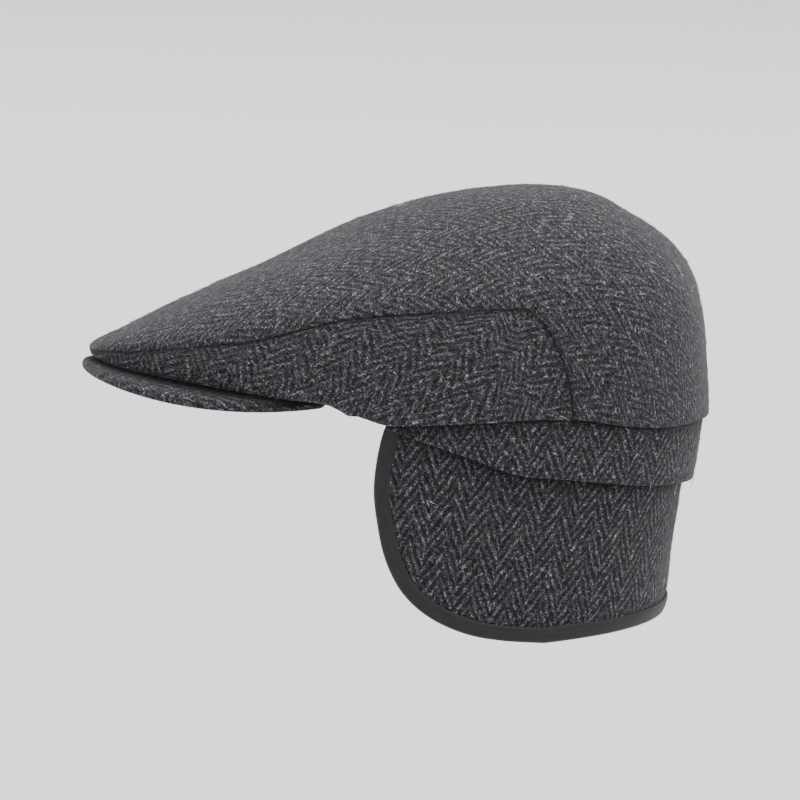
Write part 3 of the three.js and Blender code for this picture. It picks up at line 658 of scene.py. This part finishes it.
def band_grid():
    samples = np.linspace(BAND_FRONT_ANGLE, NAPE_ANGLE, 300)
    rim = layer_point(samples, np.zeros_like(samples), CROWN_CLOTH + LAYER_GAP, 0, 0)
    sums = lengths_along(rim)
    wanted = edge_spread(sums[-1], CLOTH_STEP, at_end=False)
    angle = np.interp(wanted, sums, samples)
    foot = -BAND_DEPTH * read(BAND_LEVELS, "depth", angle)
    head = lower_edge_level(angle) + BAND_HIDDEN_HEIGHT
    down = edge_spread(BAND_DEPTH + BAND_HIDDEN_HEIGHT, BAND_ROW_STEP)
    share = down / down[-1]
    level = mix(head[:, None], foot[:, None], share[None, :])
    lean = np.clip(-level / BAND_DEPTH, 0, 1)
    around = np.broadcast_to(angle[:, None], level.shape)
    from_line = level - foot[:, None] - HEM_LINE_RISE
    hem_line = np.exp(-((from_line / HEM_LINE_WIDTH) ** 2))
    set_in = CROWN_CLOTH + LAYER_GAP + head_ease(around, level) + HEM_LINE_DEPTH * hem_line
    grid = layer_point(around, level, set_in, BAND_SIDE_TAPER * lean, BAND_BACK_TAPER * lean)
    uv = np.stack([np.broadcast_to((wanted - wanted[-1])[:, None], level.shape), level], -1)
    return whole_round(grid, uv)


def flap_edge_place(step):
    run = read(FLAP_EDGE, "run", step)
    drop = read(FLAP_EDGE, "drop", step)
    _, _, front_y, back_y = ring_sizes(curve_weights(RINGS, np.array([1.0])))
    reach = run * (CROWN_WIDEST_Y - FLAP_FRONT_Y)
    axis = np.where(reach >= 0, CROWN_WIDEST_Y - front_y[0], back_y[0] - CROWN_WIDEST_Y)
    return np.degrees(np.arccos(reach / axis)), -FLAP_DROP * drop


def flap_hem_place(share):
    last = FLAP_EDGE["step"][-1]
    step = mix(FLAP_CORNER_STEP, last, np.minimum(share / FLAP_CORNER_SHARE, 1))
    angle, level = flap_edge_place(step)
    back = np.clip((share - FLAP_CORNER_SHARE) / (1 - FLAP_CORNER_SHARE), 0, 1)
    rise = FLAP_NAPE_RISE * back * (1 + NAPE_RISE_EASE * (1 - back))
    return mix(angle, NAPE_ANGLE, back), level + rise


def flap_place(i, j):
    """Angle and level of a flap point: i from the front to the nape, j from the top to the hem."""
    start = flap_edge_place(np.array(0.0))
    corner = flap_hem_place(np.array(0.0))
    hem_end = flap_hem_place(np.array(1.0))
    top_end = (NAPE_ANGLE, start[1])
    front = flap_edge_place(FLAP_CORNER_STEP * j)
    hem = flap_hem_place(i)
    places = []
    for k in range(2):
        top = mix(start[k], top_end[k], i)
        nape = mix(top_end[k], hem_end[k], j)
        edges = mix(top, hem[k], j) + mix(front[k], nape, i)
        corners = mix(top, mix(corner[k], hem_end[k], i), j)
        places.append(edges - corners)
    return places


def flap_surface(i, j):
    angle, level = flap_place(i, j)
    seated = CROWN_CLOTH + LAYER_GAP + BAND_CLOTH + LAYER_GAP
    room = BINDING_SLOT_GAP + BINDING_CLOTH
    drop = np.clip(-level / FLAP_DROP, 0, 1)
    lean = read(FLAP_LEAN, "lean", drop)
    set_in = seated + room + head_ease(angle, level)
    return layer_point(angle, level, set_in, FLAP_SIDE_TAPER * drop, FLAP_BACK_TAPER * lean)


def flap_grid():
    i = np.linspace(0, 1, FLAP_COLUMNS)[:, None]
    j = np.linspace(0, 1, FLAP_ROWS)[None, :]
    i, j = np.broadcast_arrays(i, j)
    grid = flap_surface(i, j)
    angle, level = flap_place(i, j)
    across = np.linspace(0, 1, 200)
    halfway = np.full_like(across, 0.4)
    plan = flap_surface(across, halfway)
    plan_angle = flap_place(across, halfway)[0]
    sums = lengths_along(plan * np.array([1, 1, 0]))
    around = np.interp(angle, plan_angle, sums - sums[-1])
    return whole_round(grid, np.stack([around, level], -1))


def new_material(name):
    """An empty material, and functions that add a node and a calculation to it."""
    material = bpy.data.materials.new(name)
    material.use_nodes = True
    nodes = material.node_tree.nodes
    links = material.node_tree.links
    nodes.clear()

    def add(kind, values=None, **settings):
        node = nodes.new(kind)
        for key, value in settings.items():
            setattr(node, key, value)
        for key, value in (values or {}).items():
            if isinstance(value, bpy.types.NodeSocket):
                links.new(value, node.inputs[key])
            else:
                node.inputs[key].default_value = value
        return node

    def calc(operation, first, second=0.0, third=0.0):
        values = {0: first, 1: second, 2: third}
        return add("ShaderNodeMath", values, operation=operation).outputs[0]

    return material, add, calc


def grey(value):
    """A linear colour from an sRGB level of 0 to 255, a little violet as the wool is."""
    linear = ((value / 255 + 0.055) / 1.055) ** 2.4
    return (linear, linear * 0.97, linear * 1.09, 1)


def colour_ramp(add, value, stops):
    """Colours along a value, from (position, colour) stops in rising order."""
    node = add("ShaderNodeValToRGB", {0: value})
    elements = node.color_ramp.elements
    for element, (position, colour) in zip(list(elements), (stops[0], stops[-1])):
        element.position = position
        element.color = colour
    for position, colour in stops[1:-1]:
        elements.new(position).color = colour
    return node.outputs[0]


def noise(add, places, scale, detail, roughness=0.5, output="Fac"):
    values = {"Vector": places, "Scale": scale, "Detail": detail, "Roughness": roughness}
    return add("ShaderNodeTexNoise", values).outputs[output]


def add_surface(add, colour, rough, specular, sheen=0, relief=None):
    """A material's shader. The relief is a height, its strength and its depth in metres."""
    values = {"Base Color": colour, "Roughness": rough}
    if relief:
        bump = add("ShaderNodeBump", dict(zip(("Height", "Strength", "Distance"), relief)))
        values["Normal"] = bump.outputs[0]
    shader = add("ShaderNodeBsdfPrincipled", values)
    shader.inputs["Specular IOR Level"].default_value = specular
    shader.inputs["Sheen Weight"].default_value = sheen
    add("ShaderNodeOutputMaterial", {"Surface": shader.outputs[0]})
    return shader


def tweed_material(name, piece_seed, lean, brightness, weave):
    """Herringbone wool: twill lines that turn at each column, broken by heathered flecks."""
    material, add, calc = new_material(name)
    cloth = add("ShaderNodeUVMap", uv_map="Cloth").outputs[0]
    shift = (piece_seed * PIECE_SHIFT[0], piece_seed * PIECE_SHIFT[1], 0)
    turned = add("ShaderNodeVectorRotate", {"Vector": cloth, "Angle": math.radians(lean)},
                 rotation_type="Z_AXIS").outputs[0]
    moved = add("ShaderNodeVectorMath", {0: turned, 1: shift}, operation="ADD").outputs[0]
    drift = noise(add, moved, scale=0.11, detail=1, output="Color")
    wander = add("ShaderNodeVectorMath", {0: drift, 1: (0.5, 0.5, 0.5)},
                 operation="SUBTRACT").outputs[0]
    pulled = add("ShaderNodeVectorMath", {0: wander, 1: (PATTERN_DRIFT, PATTERN_DRIFT, 0), 2: moved},
                 operation="MULTIPLY_ADD").outputs[0]
    parts = add("ShaderNodeSeparateXYZ", {0: pulled})
    u, v = parts.outputs[0], parts.outputs[1]

    # Twill lines
    turns = calc("FRACT", calc("DIVIDE", u, 2 * COLUMN_WIDTH))
    side = calc("GREATER_THAN", turns, 0.5)
    fold = calc("ABSOLUTE", calc("SUBTRACT", turns, 0.5))
    over = calc("MULTIPLY", fold, 2 * COLUMN_WIDTH)
    twill = math.radians(TWILL_ANGLE)
    across = calc("SUBTRACT", calc("MULTIPLY", v, math.sin(twill)),
                  calc("MULTIPLY", over, math.cos(twill)))
    along = calc("ADD", calc("MULTIPLY", v, math.cos(twill)),
                 calc("MULTIPLY", over, math.sin(twill)))
    phase = calc("ADD", calc("DIVIDE", across, TWILL_SPACING), calc("MULTIPLY", side, 0.5))
    wave = calc("SINE", calc("MULTIPLY", phase, 2 * math.pi))

    # Floats of single yarns along each line, specks across them and heathering over them
    thin = calc("DIVIDE", across, YARN_WIDTH)
    stretched = add("ShaderNodeCombineXYZ", {0: thin, 1: calc("DIVIDE", along, FLOAT_LENGTH), 2: side})
    floats = noise(add, stretched.outputs[0], scale=1, detail=2, roughness=0.65)
    heather = noise(add, pulled, scale=0.26, detail=3, roughness=0.65)
    specks = noise(add, pulled, scale=1.25, detail=1)
    tone = calc("MULTIPLY_ADD", wave, weave, MIDDLE_TONE)
    layers = ((floats, FLOAT_STRENGTH), (heather, HEATHER_STRENGTH), (specks, SPECK_STRENGTH))
    for source, strength in layers:
        tone = calc("MULTIPLY_ADD", calc("SUBTRACT", source, 0.5), strength, tone)
    last = len(YARN_TONES) - 1
    yarn = [(step / last, grey(level * brightness)) for step, level in enumerate(YARN_TONES)]
    coloured = colour_ramp(add, tone, yarn)

    # Wool of several colours blended in one yarn
    blend = noise(add, moved, scale=0.075, detail=3, roughness=0.7)
    tints = colour_ramp(add, blend, WOOL_TINTS)
    coloured = add("ShaderNodeMix", {0: 1.0, 6: coloured, 7: tints},
                   data_type="RGBA", blend_type="MULTIPLY").outputs[2]

    # Painted shade: the cloth is darkened in the creases, where shade falls
    painted_shade = add("ShaderNodeAttribute", attribute_name="PaintedCreaseShade").outputs["Fac"]
    coloured = add("ShaderNodeMix",
                   {0: calc("MULTIPLY", painted_shade, CREASE_SHADE_STRENGTH), 6: coloured, 7: grey(CREASE_SHADE_TONE)},
                   data_type="RGBA").outputs[2]

    # Relief of the twill lines and of the woolly surface
    height = calc("MULTIPLY", floats, FLOAT_RELIEF)
    height = calc("MULTIPLY_ADD", wave, TWILL_RELIEF, height)
    height = calc("MULTIPLY_ADD", specks, SPECK_RELIEF, height)
    rough = calc("MULTIPLY_ADD", floats, 0.12, 0.84)
    relief = (height, 0.6, 0.0006)
    shader = add_surface(add, coloured, rough, specular=0.15, sheen=0.07, relief=relief)
    shader.inputs["Sheen Roughness"].default_value = 0.45
    return material


def tape_material(name, base):
    """Smooth bias tape: a fine diagonal rib with slight streaks along it."""
    material, add, calc = new_material(name)
    cloth = add("ShaderNodeUVMap", uv_map="Cloth").outputs[0]
    parts = add("ShaderNodeSeparateXYZ", {0: cloth})
    u, v = parts.outputs[0], parts.outputs[1]
    rib = calc("SINE", calc("MULTIPLY", calc("ADD", u, v), 2 * math.pi / RIB_SPACING))
    long_way = add("ShaderNodeCombineXYZ", {0: calc("MULTIPLY", u, 0.12), 1: calc("MULTIPLY", v, 0.9)})
    streaks = noise(add, long_way.outputs[0], scale=1, detail=3)
    grain = noise(add, cloth, scale=1.6, detail=2)
    tone = calc("MULTIPLY_ADD", rib, 0.05, streaks)
    tone = calc("MULTIPLY_ADD", calc("SUBTRACT", grain, 0.5), 0.5, tone)
    coloured = colour_ramp(add, tone, [(0.25, grey(base * 0.80)), (0.8, grey(base * 1.25))])
    height = calc("MULTIPLY_ADD", rib, 0.25, grain)
    rough = calc("MULTIPLY_ADD", streaks, 0.15, 0.6)
    add_surface(add, coloured, rough, specular=0.25, sheen=0.08, relief=(height, 0.35, 0.00025))
    return material


def wool_hair_material(name, dark, light):
    material, add, _ = new_material(name)
    cloth = add("ShaderNodeUVMap", uv_map="Cloth").outputs[0]
    shade = noise(add, cloth, scale=0.35, detail=2)
    coloured = colour_ramp(add, shade, [(0.3, grey(dark)), (0.7, grey(light))])
    add_surface(add, coloured, 0.7, specular=0.2)
    return material


# One tweed in five copies. Its brightness changes a little from piece to piece, partly for the nap that
# lies differently and partly as painted shade: the band and the flap, which lie under the crown, are
# set darker.
tweed_top = tweed_material("tweed_top", 1, lean=0, brightness=1.03, weave=0.12)
tweed_side = tweed_material("tweed_side", 2, lean=-35, brightness=1.05, weave=0.13)
tweed_peak = tweed_material("tweed_peak", 3, lean=0, brightness=1, weave=0.13)
tweed_band = tweed_material("tweed_band", 4, lean=5, brightness=0.97, weave=0.16)
tweed_flap = tweed_material("tweed_flap", 5, lean=10, brightness=0.93, weave=0.18)
lining = tape_material("lining_cloth", LINING_TONE)
tape = tape_material("binding_tape", TAPE_TONE)
thread = tape_material("thread", TAPE_TONE)
hair_dark = wool_hair_material("wool_hair", *HAIR_TONES)
hair_pale = wool_hair_material("kemp_hair", *KEMP_TONES)


def peak_section(share):
    """A section of the peak: over the top, round the edge and back under, with its cloth places."""
    inner = headline_point(PEAK_INNER_ANGLE * share)
    turn = math.radians(PEAK_CORNER_ANGLE * share)
    outer = np.array(
        [PEAK_HALF_WIDTH * math.sin(turn), PEAK_MIDDLE_Y - PEAK_REACH * math.cos(turn), 0]
    )
    radius = PEAK_THICKNESS / 2
    out = unit(outer - inner)
    length = np.linalg.norm(outer - inner) - radius
    near = length - PEAK_EDGE_ZONE
    flat = np.concatenate([np.linspace(0, near, 22), np.linspace(near, length, 9)[1:]])
    lift = np.radians(np.linspace(90, -90, 17))[1:-1]
    reach = np.concatenate([flat, length + radius * np.cos(lift), flat[::-1]])
    height = np.concatenate(
        [np.full(len(flat), radius), radius * np.sin(lift), np.full(len(flat), -radius)]
    )
    from_groove = (reach - length + PEAK_GROOVE_INSET) / PEAK_GROOVE_WIDTH
    groove = PEAK_GROOVE_DEPTH * np.exp(-(from_groove**2)) * (height < 0)
    points = inner + out * reach[:, None]
    points[:, 2] = peak_top(points[:, 0]) - radius + height + groove
    gone = lengths_along(np.stack([reach, height], -1))
    return points, inner[:2] + out[:2] * gone[:, None]


def swept_piece(name, sections, uvs, material):
    """A closed body swept through equal closed sections, with fan caps at both ends."""
    count, size = sections.shape[:2]
    index = np.arange(count * (size + 1)).reshape(count, size + 1)
    ring = np.concatenate([sections, sections[:, :1]], 1)
    faces = quads(index[:-1], index[1:]).tolist()
    faces.append(index[0, :-1][::-1].tolist())
    faces.append(index[-1, :-1].tolist())
    piece = mesh_piece(name, ring.reshape(-1, 3), faces, uvs.reshape(-1, 2), [material])
    weld(piece)
    return piece


def paint_crease_shade(piece, distance, depth):
    """Stores painted shade for a crease: how far each point lies in it, 1 at its bottom, fading over
    the depth.
    """
    values = np.ones((len(distance), 4))
    values[:, :3] = np.exp(-np.maximum(distance, 0) / depth)[:, None]
    layer = piece.data.color_attributes.new("PaintedCreaseShade", "FLOAT_COLOR", "POINT")
    layer.data.foreach_set("color", values.ravel())


def points_of(piece):
    places = np.zeros(len(piece.data.vertices) * 3)
    piece.data.vertices.foreach_get("co", places)
    return places.reshape(-1, 3) / MM


def rim_ellipse(places):
    """Places in the plan of the crown's lower edge, where that edge is the unit circle."""
    half_width, middle_y, front_y, back_y = ring_sizes(curve_weights(RINGS, np.array(1.0)))
    ahead = middle_y - places[:, 1]
    reach = np.where(ahead > 0, middle_y - front_y, back_y - middle_y)
    return places[:, 0] / half_width, ahead / reach, half_width, reach


def round_angle(places):
    across, ahead, _, _ = rim_ellipse(places)
    return np.degrees(np.arctan2(np.abs(across), ahead))


def rim_distance(places):
    """How far places lie outside the crown's lower edge in plan."""
    across, ahead, half_width, reach = rim_ellipse(places)
    ratio = np.hypot(across, ahead)
    return (ratio - 1) * ratio / np.hypot(across / half_width, ahead / reach)


def seam_distance(places):
    """How far places lie from the seam between the top and side panels."""
    top, fall, _ = dense_seam()
    line = np.concatenate([crown_point(part[:, 0], part[:, 2]) for part in (top, fall[1:])])
    line = points_at(line, np.arange(0, lengths_along(line)[-1], SEAM_SAMPLE))
    tree = KDTree(len(line))
    for index, point in enumerate(line):
        tree.insert(point, index)
    tree.balance()
    return np.array([tree.find((abs(x), y, z))[2] for x, y, z in places])


def binding_path(outer, inner):
    """Mid-line of the flap's free edge and the cloth's normal there, at even steps."""
    last, rows = outer.shape[0] - 1, outer.shape[1] - 1
    pick = [(0, j) for j in range(rows + 1)]
    pick += [(i, rows) for i in range(1, last)]
    pick += [(last, j) for j in range(rows, -1, -1)]
    i, j = np.array(pick).T
    middle = (outer[i, j] + inner[i, j]) / 2
    normal = unit(outer[i, j] - inner[i, j])
    sums = lengths_along(middle)
    wanted = np.linspace(0, sums[-1], int(sums[-1] / BINDING_STEP))
    path = points_at(middle, wanted)
    facing = unit(values_at(wanted, sums, normal))
    window = np.ones(SMOOTH_SPAN) / SMOOTH_SPAN
    pad = SMOOTH_SPAN // 2
    for _ in range(2):
        padded = np.concatenate([facing[:1]] * pad + [facing] + [facing[-1:]] * pad)
        facing = unit(np.stack([np.convolve(padded[:, k], window, "valid") for k in range(3)], -1))
    tangent = unit(np.gradient(path, axis=0))
    facing = unit(facing - tangent * (facing * tangent).sum(-1, keepdims=True))
    return path, facing, unit(np.cross(facing, tangent)), wanted


def binding_profile():
    """Half of the tape's section as (out from the cloth's middle, depth from the edge)."""
    deep = BINDING_WIDTH - BINDING_CLOTH - LAYER_GAP
    back = -(LAYER_GAP + BINDING_CLOTH)
    cloth = FLAP_CLOTH / 2
    face = cloth + BINDING_SLOT_GAP + BINDING_CLOTH
    lip = cloth + 0.08
    bend = np.radians(np.linspace(0, 90, 10))
    outside = [(lip + 0.1, deep), (lip + 0.45, deep), (face - 0.55, deep - 0.35)]
    outside += [(face - 0.25, deep - 0.9), (face - 0.28, deep - 1.3), (face - 0.1, deep - 1.9)]
    outside += [(face, deep - 3.2), (face, 1.6)]
    outside += [(face * math.cos(t), mix(0.8, back, math.sin(t))) for t in bend[:-1]]
    slot = face - BINDING_CLOTH
    inside = [(lip, deep - 0.15), (lip + 0.05, deep - 1.2), (slot, deep - 3)]
    inside += [(slot, 1.0), (slot * 0.9, 0.2), (slot * 0.5, -LAYER_GAP * 0.8)]
    return np.array(outside), np.array(inside), back


def binding_sections(path, facing, inward, wanted):
    outside, inside, back = binding_profile()
    flip = np.array([-1, 1])
    other_side = [[[0, back]], (outside * flip)[::-1], inside * flip, [[0, -LAYER_GAP]]]
    profile = np.concatenate([outside, *other_side, inside[::-1]])
    pucker = PUCKER_SIZES[0] * np.sin(wanted * 2 * math.pi / STITCH_PITCH)
    pucker += PUCKER_SIZES[1] * np.sin(wanted / 5.3 + 1.2 * np.sin(wanted / 9.1))
    swell = 1 + pucker[:, None] / profile[:, 0].max()
    out = profile[None, :, 0] * swell
    wider = 1 + BINDING_WIDTH_CHANGE * np.sin(wanted / 7.7 + 0.5)
    width = profile[None, :, 1] * wider[:, None]
    sections = path[:, None] + facing[:, None] * out[..., None] + inward[:, None] * width[..., None]
    around = lengths_along(np.concatenate([profile, profile[:1]]))
    uv = np.stack(np.broadcast_arrays(wanted[:, None], around[None, :]), -1)
    return sections, uv


def tube_faces(base, rings, sides):
    """Faces of a closed tube whose rings of points start at the given index."""
    faces = []
    for ring in range(rings - 1):
        low = base + ring * sides
        for k in range(sides):
            after = (k + 1) % sides
            faces.append([low + k, low + after, low + sides + after, low + sides + k])
    faces.append([base + k for k in range(sides)][::-1])
    faces.append([base + sides * (rings - 1) + k for k in range(sides)])
    return faces


def capsules(name, centres, directions, material):
    """Short rounded threads lying along the given directions."""
    ends = np.linspace(-1, 1, 6)
    points = []
    faces = []
    side = unit(np.cross(directions, np.array([0.31, 0.87, 0.38])))
    up = np.cross(directions, side)
    turn = np.linspace(0, 2 * math.pi, STITCH_SIDES + 1)[:-1]
    for centre, along, across, above in zip(centres, directions, side, up):
        faces += tube_faces(len(points), len(ends), STITCH_SIDES)
        for end in ends:
            wide = STITCH_RADIUS * max(0.25, math.sqrt(max(0.0, 1 - end**4)))
            for angle in turn:
                points.append(
                    centre + along * end * STITCH_LENGTH / 2
                    + (across * math.cos(angle) + above * math.sin(angle)) * wide
                )
    return mesh_piece(name, points, faces, np.array(points)[:, 1:], [material])


def fibres(name, grids, hairs, material):
    """Wool hairs as thin three-sided tubes that start in the cloth and stand off it a little."""
    count, length, radius, lift = hairs
    areas = []
    for grid, _ in grids:
        across = grid[1:, :-1] - grid[:-1, :-1]
        down = grid[:-1, 1:] - grid[:-1, :-1]
        areas.append(np.linalg.norm(np.cross(across, down), axis=-1).ravel())
    share = np.concatenate(areas)
    picks = rng.choice(len(share), count, p=share / share.sum())
    starts = np.cumsum([0] + [len(area) for area in areas])
    points = []
    faces = []
    ticks = np.linspace(0, 1, 4)
    corner = np.linspace(0, 2 * math.pi, HAIR_SIDES + 1)[:-1]
    for pick in picks:
        which = int(np.searchsorted(starts, pick, side="right")) - 1
        grid, normals = grids[which]
        i, j = divmod(int(pick - starts[which]), grid.shape[1] - 1)
        a, b = rng.random(2)
        root = mix(mix(grid[i, j], grid[i + 1, j], a), mix(grid[i, j + 1], grid[i + 1, j + 1], a), b)
        normal = normals[i, j]
        heading = unit(np.cross(normal, rng.normal(size=3)))
        bend = np.cross(normal, heading) * rng.normal() * HAIR_BEND
        long = mix(length[0], length[1], rng.random() ** 2)
        rise = mix(lift[0], lift[1], rng.random())
        side = unit(np.cross(normal, heading))
        faces += tube_faces(len(points), len(ticks), HAIR_SIDES)
        for tick in ticks:
            centre = root - normal * HAIR_ROOT_DEPTH
            centre = centre + heading * long * tick + bend * long * tick**2
            centre = centre + normal * rise * math.sin(math.pi * min(1, 0.15 + 0.6 * tick))
            wide = radius * (1.0 if tick < 1 else HAIR_TIP_SHARE)
            for angle in corner:
                points.append(centre + (side * math.cos(angle) + normal * math.sin(angle)) * wide)
    return mesh_piece(name, points, faces, np.array(points)[:, 1:], [material])


rng = np.random.default_rng(SEED)

# Crown
top_piece, top_face = shell_piece(
    "top_panel_cloth", *top_panel_grid(CLOTH_STEP), CROWN_CLOTH, tweed_top, hub=True
)
side_grid, side_uv = side_panel_grid(CLOTH_STEP)
side_left, left_face = shell_piece("side_panel_left_cloth", side_grid, side_uv, CROWN_CLOTH, tweed_side)
side_right, right_face = shell_piece(
    "side_panel_right_cloth", (side_grid * MIRROR)[::-1], side_uv[::-1], CROWN_CLOTH, tweed_side
)
# Painted shade along the seam between the top and side panels
for piece in (top_piece, side_left, side_right):
    paint_crease_shade(piece, seam_distance(points_of(piece)), SEAM_SHADE_DEPTH)

# Peak
peak_parts = [peak_section(share) for share in np.linspace(-1, 1, PEAK_SECTIONS)]
peak_rings = np.array([part[0] for part in peak_parts])
peak_uv = np.array([np.concatenate([part[1], part[1][-1:] + 0.5]) for part in peak_parts])
peak_piece = swept_piece("peak_cloth", peak_rings, peak_uv, tweed_peak)
# Painted shade on the peak's top next to the crown's fold, none on its underside
places = points_of(peak_piece)
below = np.where(places[:, 2] < peak_top(places[:, 0]) - PEAK_THICKNESS / 2, NO_CREASE, 0)
paint_crease_shade(peak_piece, rim_distance(places) + below, PEAK_SHADE_DEPTH)

# Band and flap
band_piece, band_face = shell_piece("band_cloth", *band_grid(), BAND_CLOTH, tweed_band)
# Painted shade on the band just under the crown's lower edge
places = points_of(band_piece)
paint_crease_shade(band_piece, lower_edge_level(round_angle(places)) - places[:, 2], BAND_SHADE_DEPTH)
flap_points, flap_uv = flap_grid()
flap_piece, flap_face = shell_piece("ear_flap_cloth", flap_points, flap_uv, FLAP_CLOTH, tweed_flap)
# Painted shade on the flap just under the band's lower edge
places = points_of(flap_piece)
band_foot = -BAND_DEPTH * read(BAND_LEVELS, "depth", round_angle(places))
paint_crease_shade(flap_piece, band_foot - places[:, 2], BAND_SHADE_DEPTH)

# Binding with its stitches
flap_back = flap_points - grid_normals(flap_points) * FLAP_CLOTH
path, facing, inward, along = binding_path(flap_points, flap_back)
sections, tape_uv = binding_sections(path, facing, inward, along)
binding_piece = swept_piece("flap_binding_tape", sections, tape_uv, tape)
stitch_at = np.arange(STITCH_PITCH, along[-1] - STITCH_PITCH, STITCH_PITCH)
stitch_facing = unit(values_at(stitch_at, along, facing))
stitch_inward = unit(values_at(stitch_at, along, inward))
stitch_out = FLAP_CLOTH / 2 + BINDING_SLOT_GAP + BINDING_CLOTH - STITCH_SINK
stitch_deep = BINDING_WIDTH - BINDING_CLOTH - LAYER_GAP - STITCH_INSET
stitches = capsules(
    "binding_stitches",
    points_at(path, stitch_at) + stitch_facing * stitch_out + stitch_inward * stitch_deep,
    unit(np.cross(stitch_inward, stitch_facing)),
    thread,
)

# Wool hairs that stand off the cloth
crown_faces = [top_face, left_face, right_face]
flap_faces = [band_face, flap_face]
crown_hair = fibres("crown_wool_hairs", crown_faces, CROWN_HAIRS, hair_dark)
flap_hair = fibres("flap_wool_hairs", flap_faces, FLAP_HAIRS, hair_dark)
kemp_hair = fibres("kemp_hairs", crown_faces + flap_faces, KEMP_HAIRS, hair_pale)

for piece in (stitches, crown_hair, flap_hair, kemp_hair):
    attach(piece, "root")

rides = [top_piece, side_left, side_right, peak_piece, band_piece, flap_piece, binding_piece]
nodes = [
    "top_panel", "side_panel_left", "side_panel_right", "peak", "band", "ear_flap", "flap_binding",
]
for piece, node in zip(rides, nodes):
    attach(piece, "root")
    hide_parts(node)

# Cloth areas and cut sizes, in metres
SHEETS = [
    (top_piece, (0.288, 0.363), "stretched", 0.0615, ["side_panel_left", "side_panel_right"]),
    (side_left, (0.075, 0.234), "stretched", 0.0114, ["top_panel"]),
    (side_right, (0.075, 0.234), "stretched", 0.0114, ["top_panel"]),
    (band_piece, (0.0392, 0.377), "stretched", 0.0108, ["top_panel"]),
    (flap_piece, (0.0954, 0.361), "hung", 0.032, ["band"]),
    (binding_piece, (0.0161, 0.483), "folded", 0.0077, ["ear_flap"]),
]
for piece, flat, held, area, under in SHEETS:
    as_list(under)


def aim(thing, direction):
    """Turns a camera or a lamp to look along a direction."""
    thing.rotation_mode = "QUATERNION"
    thing.rotation_quaternion = direction.to_track_quat("-Z", "Y")


# Camera
turn = math.radians(CAMERA_AZIMUTH)
rise = math.radians(CAMERA_ELEVATION)
back = Vector((math.sin(turn) * math.cos(rise), -math.cos(turn) * math.cos(rise), math.sin(rise)))
camera = linked("camera", bpy.data.cameras.new("camera"))
camera.data.lens = CAMERA_LENS
camera.data.sensor_width = SENSOR_WIDTH
camera.location = CAMERA_AIM + back * CAMERA_DISTANCE
aim(camera, -back)
bpy.context.scene.camera = camera

# Pale floor that curves up into a low wall all round
floor_points = []
for reach, lift in FLOOR_PROFILE:
    for side in range(FLOOR_SIDES):
        turn = 2 * math.pi * side / FLOOR_SIDES
        floor_points.append((reach * math.cos(turn), reach * math.sin(turn), lift - FLOOR_DROP))
floor_faces = [face[::-1] for face in tube_faces(0, len(FLOOR_PROFILE), FLOOR_SIDES)[:-1]]
floor_mesh = bpy.data.meshes.new("floor")
floor_mesh.from_pydata(floor_points, [], floor_faces)
floor_mesh.polygons.foreach_set("use_smooth", [True] * len(floor_faces))
floor = linked("floor", floor_mesh)
floor_material, add, _ = new_material("floor_paint")
add_surface(add, (FLOOR_GREY, FLOOR_GREY, FLOOR_GREY, 1), 0.9, specular=0.1)
floor_mesh.materials.append(floor_material)

# Soft light from above and from behind the wearer
for name, source, strength, width in SUNS:
    sun = linked(name, bpy.data.lights.new(name, "SUN"))
    sun.data.energy = strength
    sun.data.angle = math.radians(width)
    aim(sun, -Vector(source))
world = bpy.data.worlds.new("studio")
bpy.context.scene.world = world
world.use_nodes = True
background = world.node_tree.nodes["Background"]
background.inputs[0].default_value = (1, 1, 1, 1)
background.inputs[1].default_value = WORLD_STRENGTH
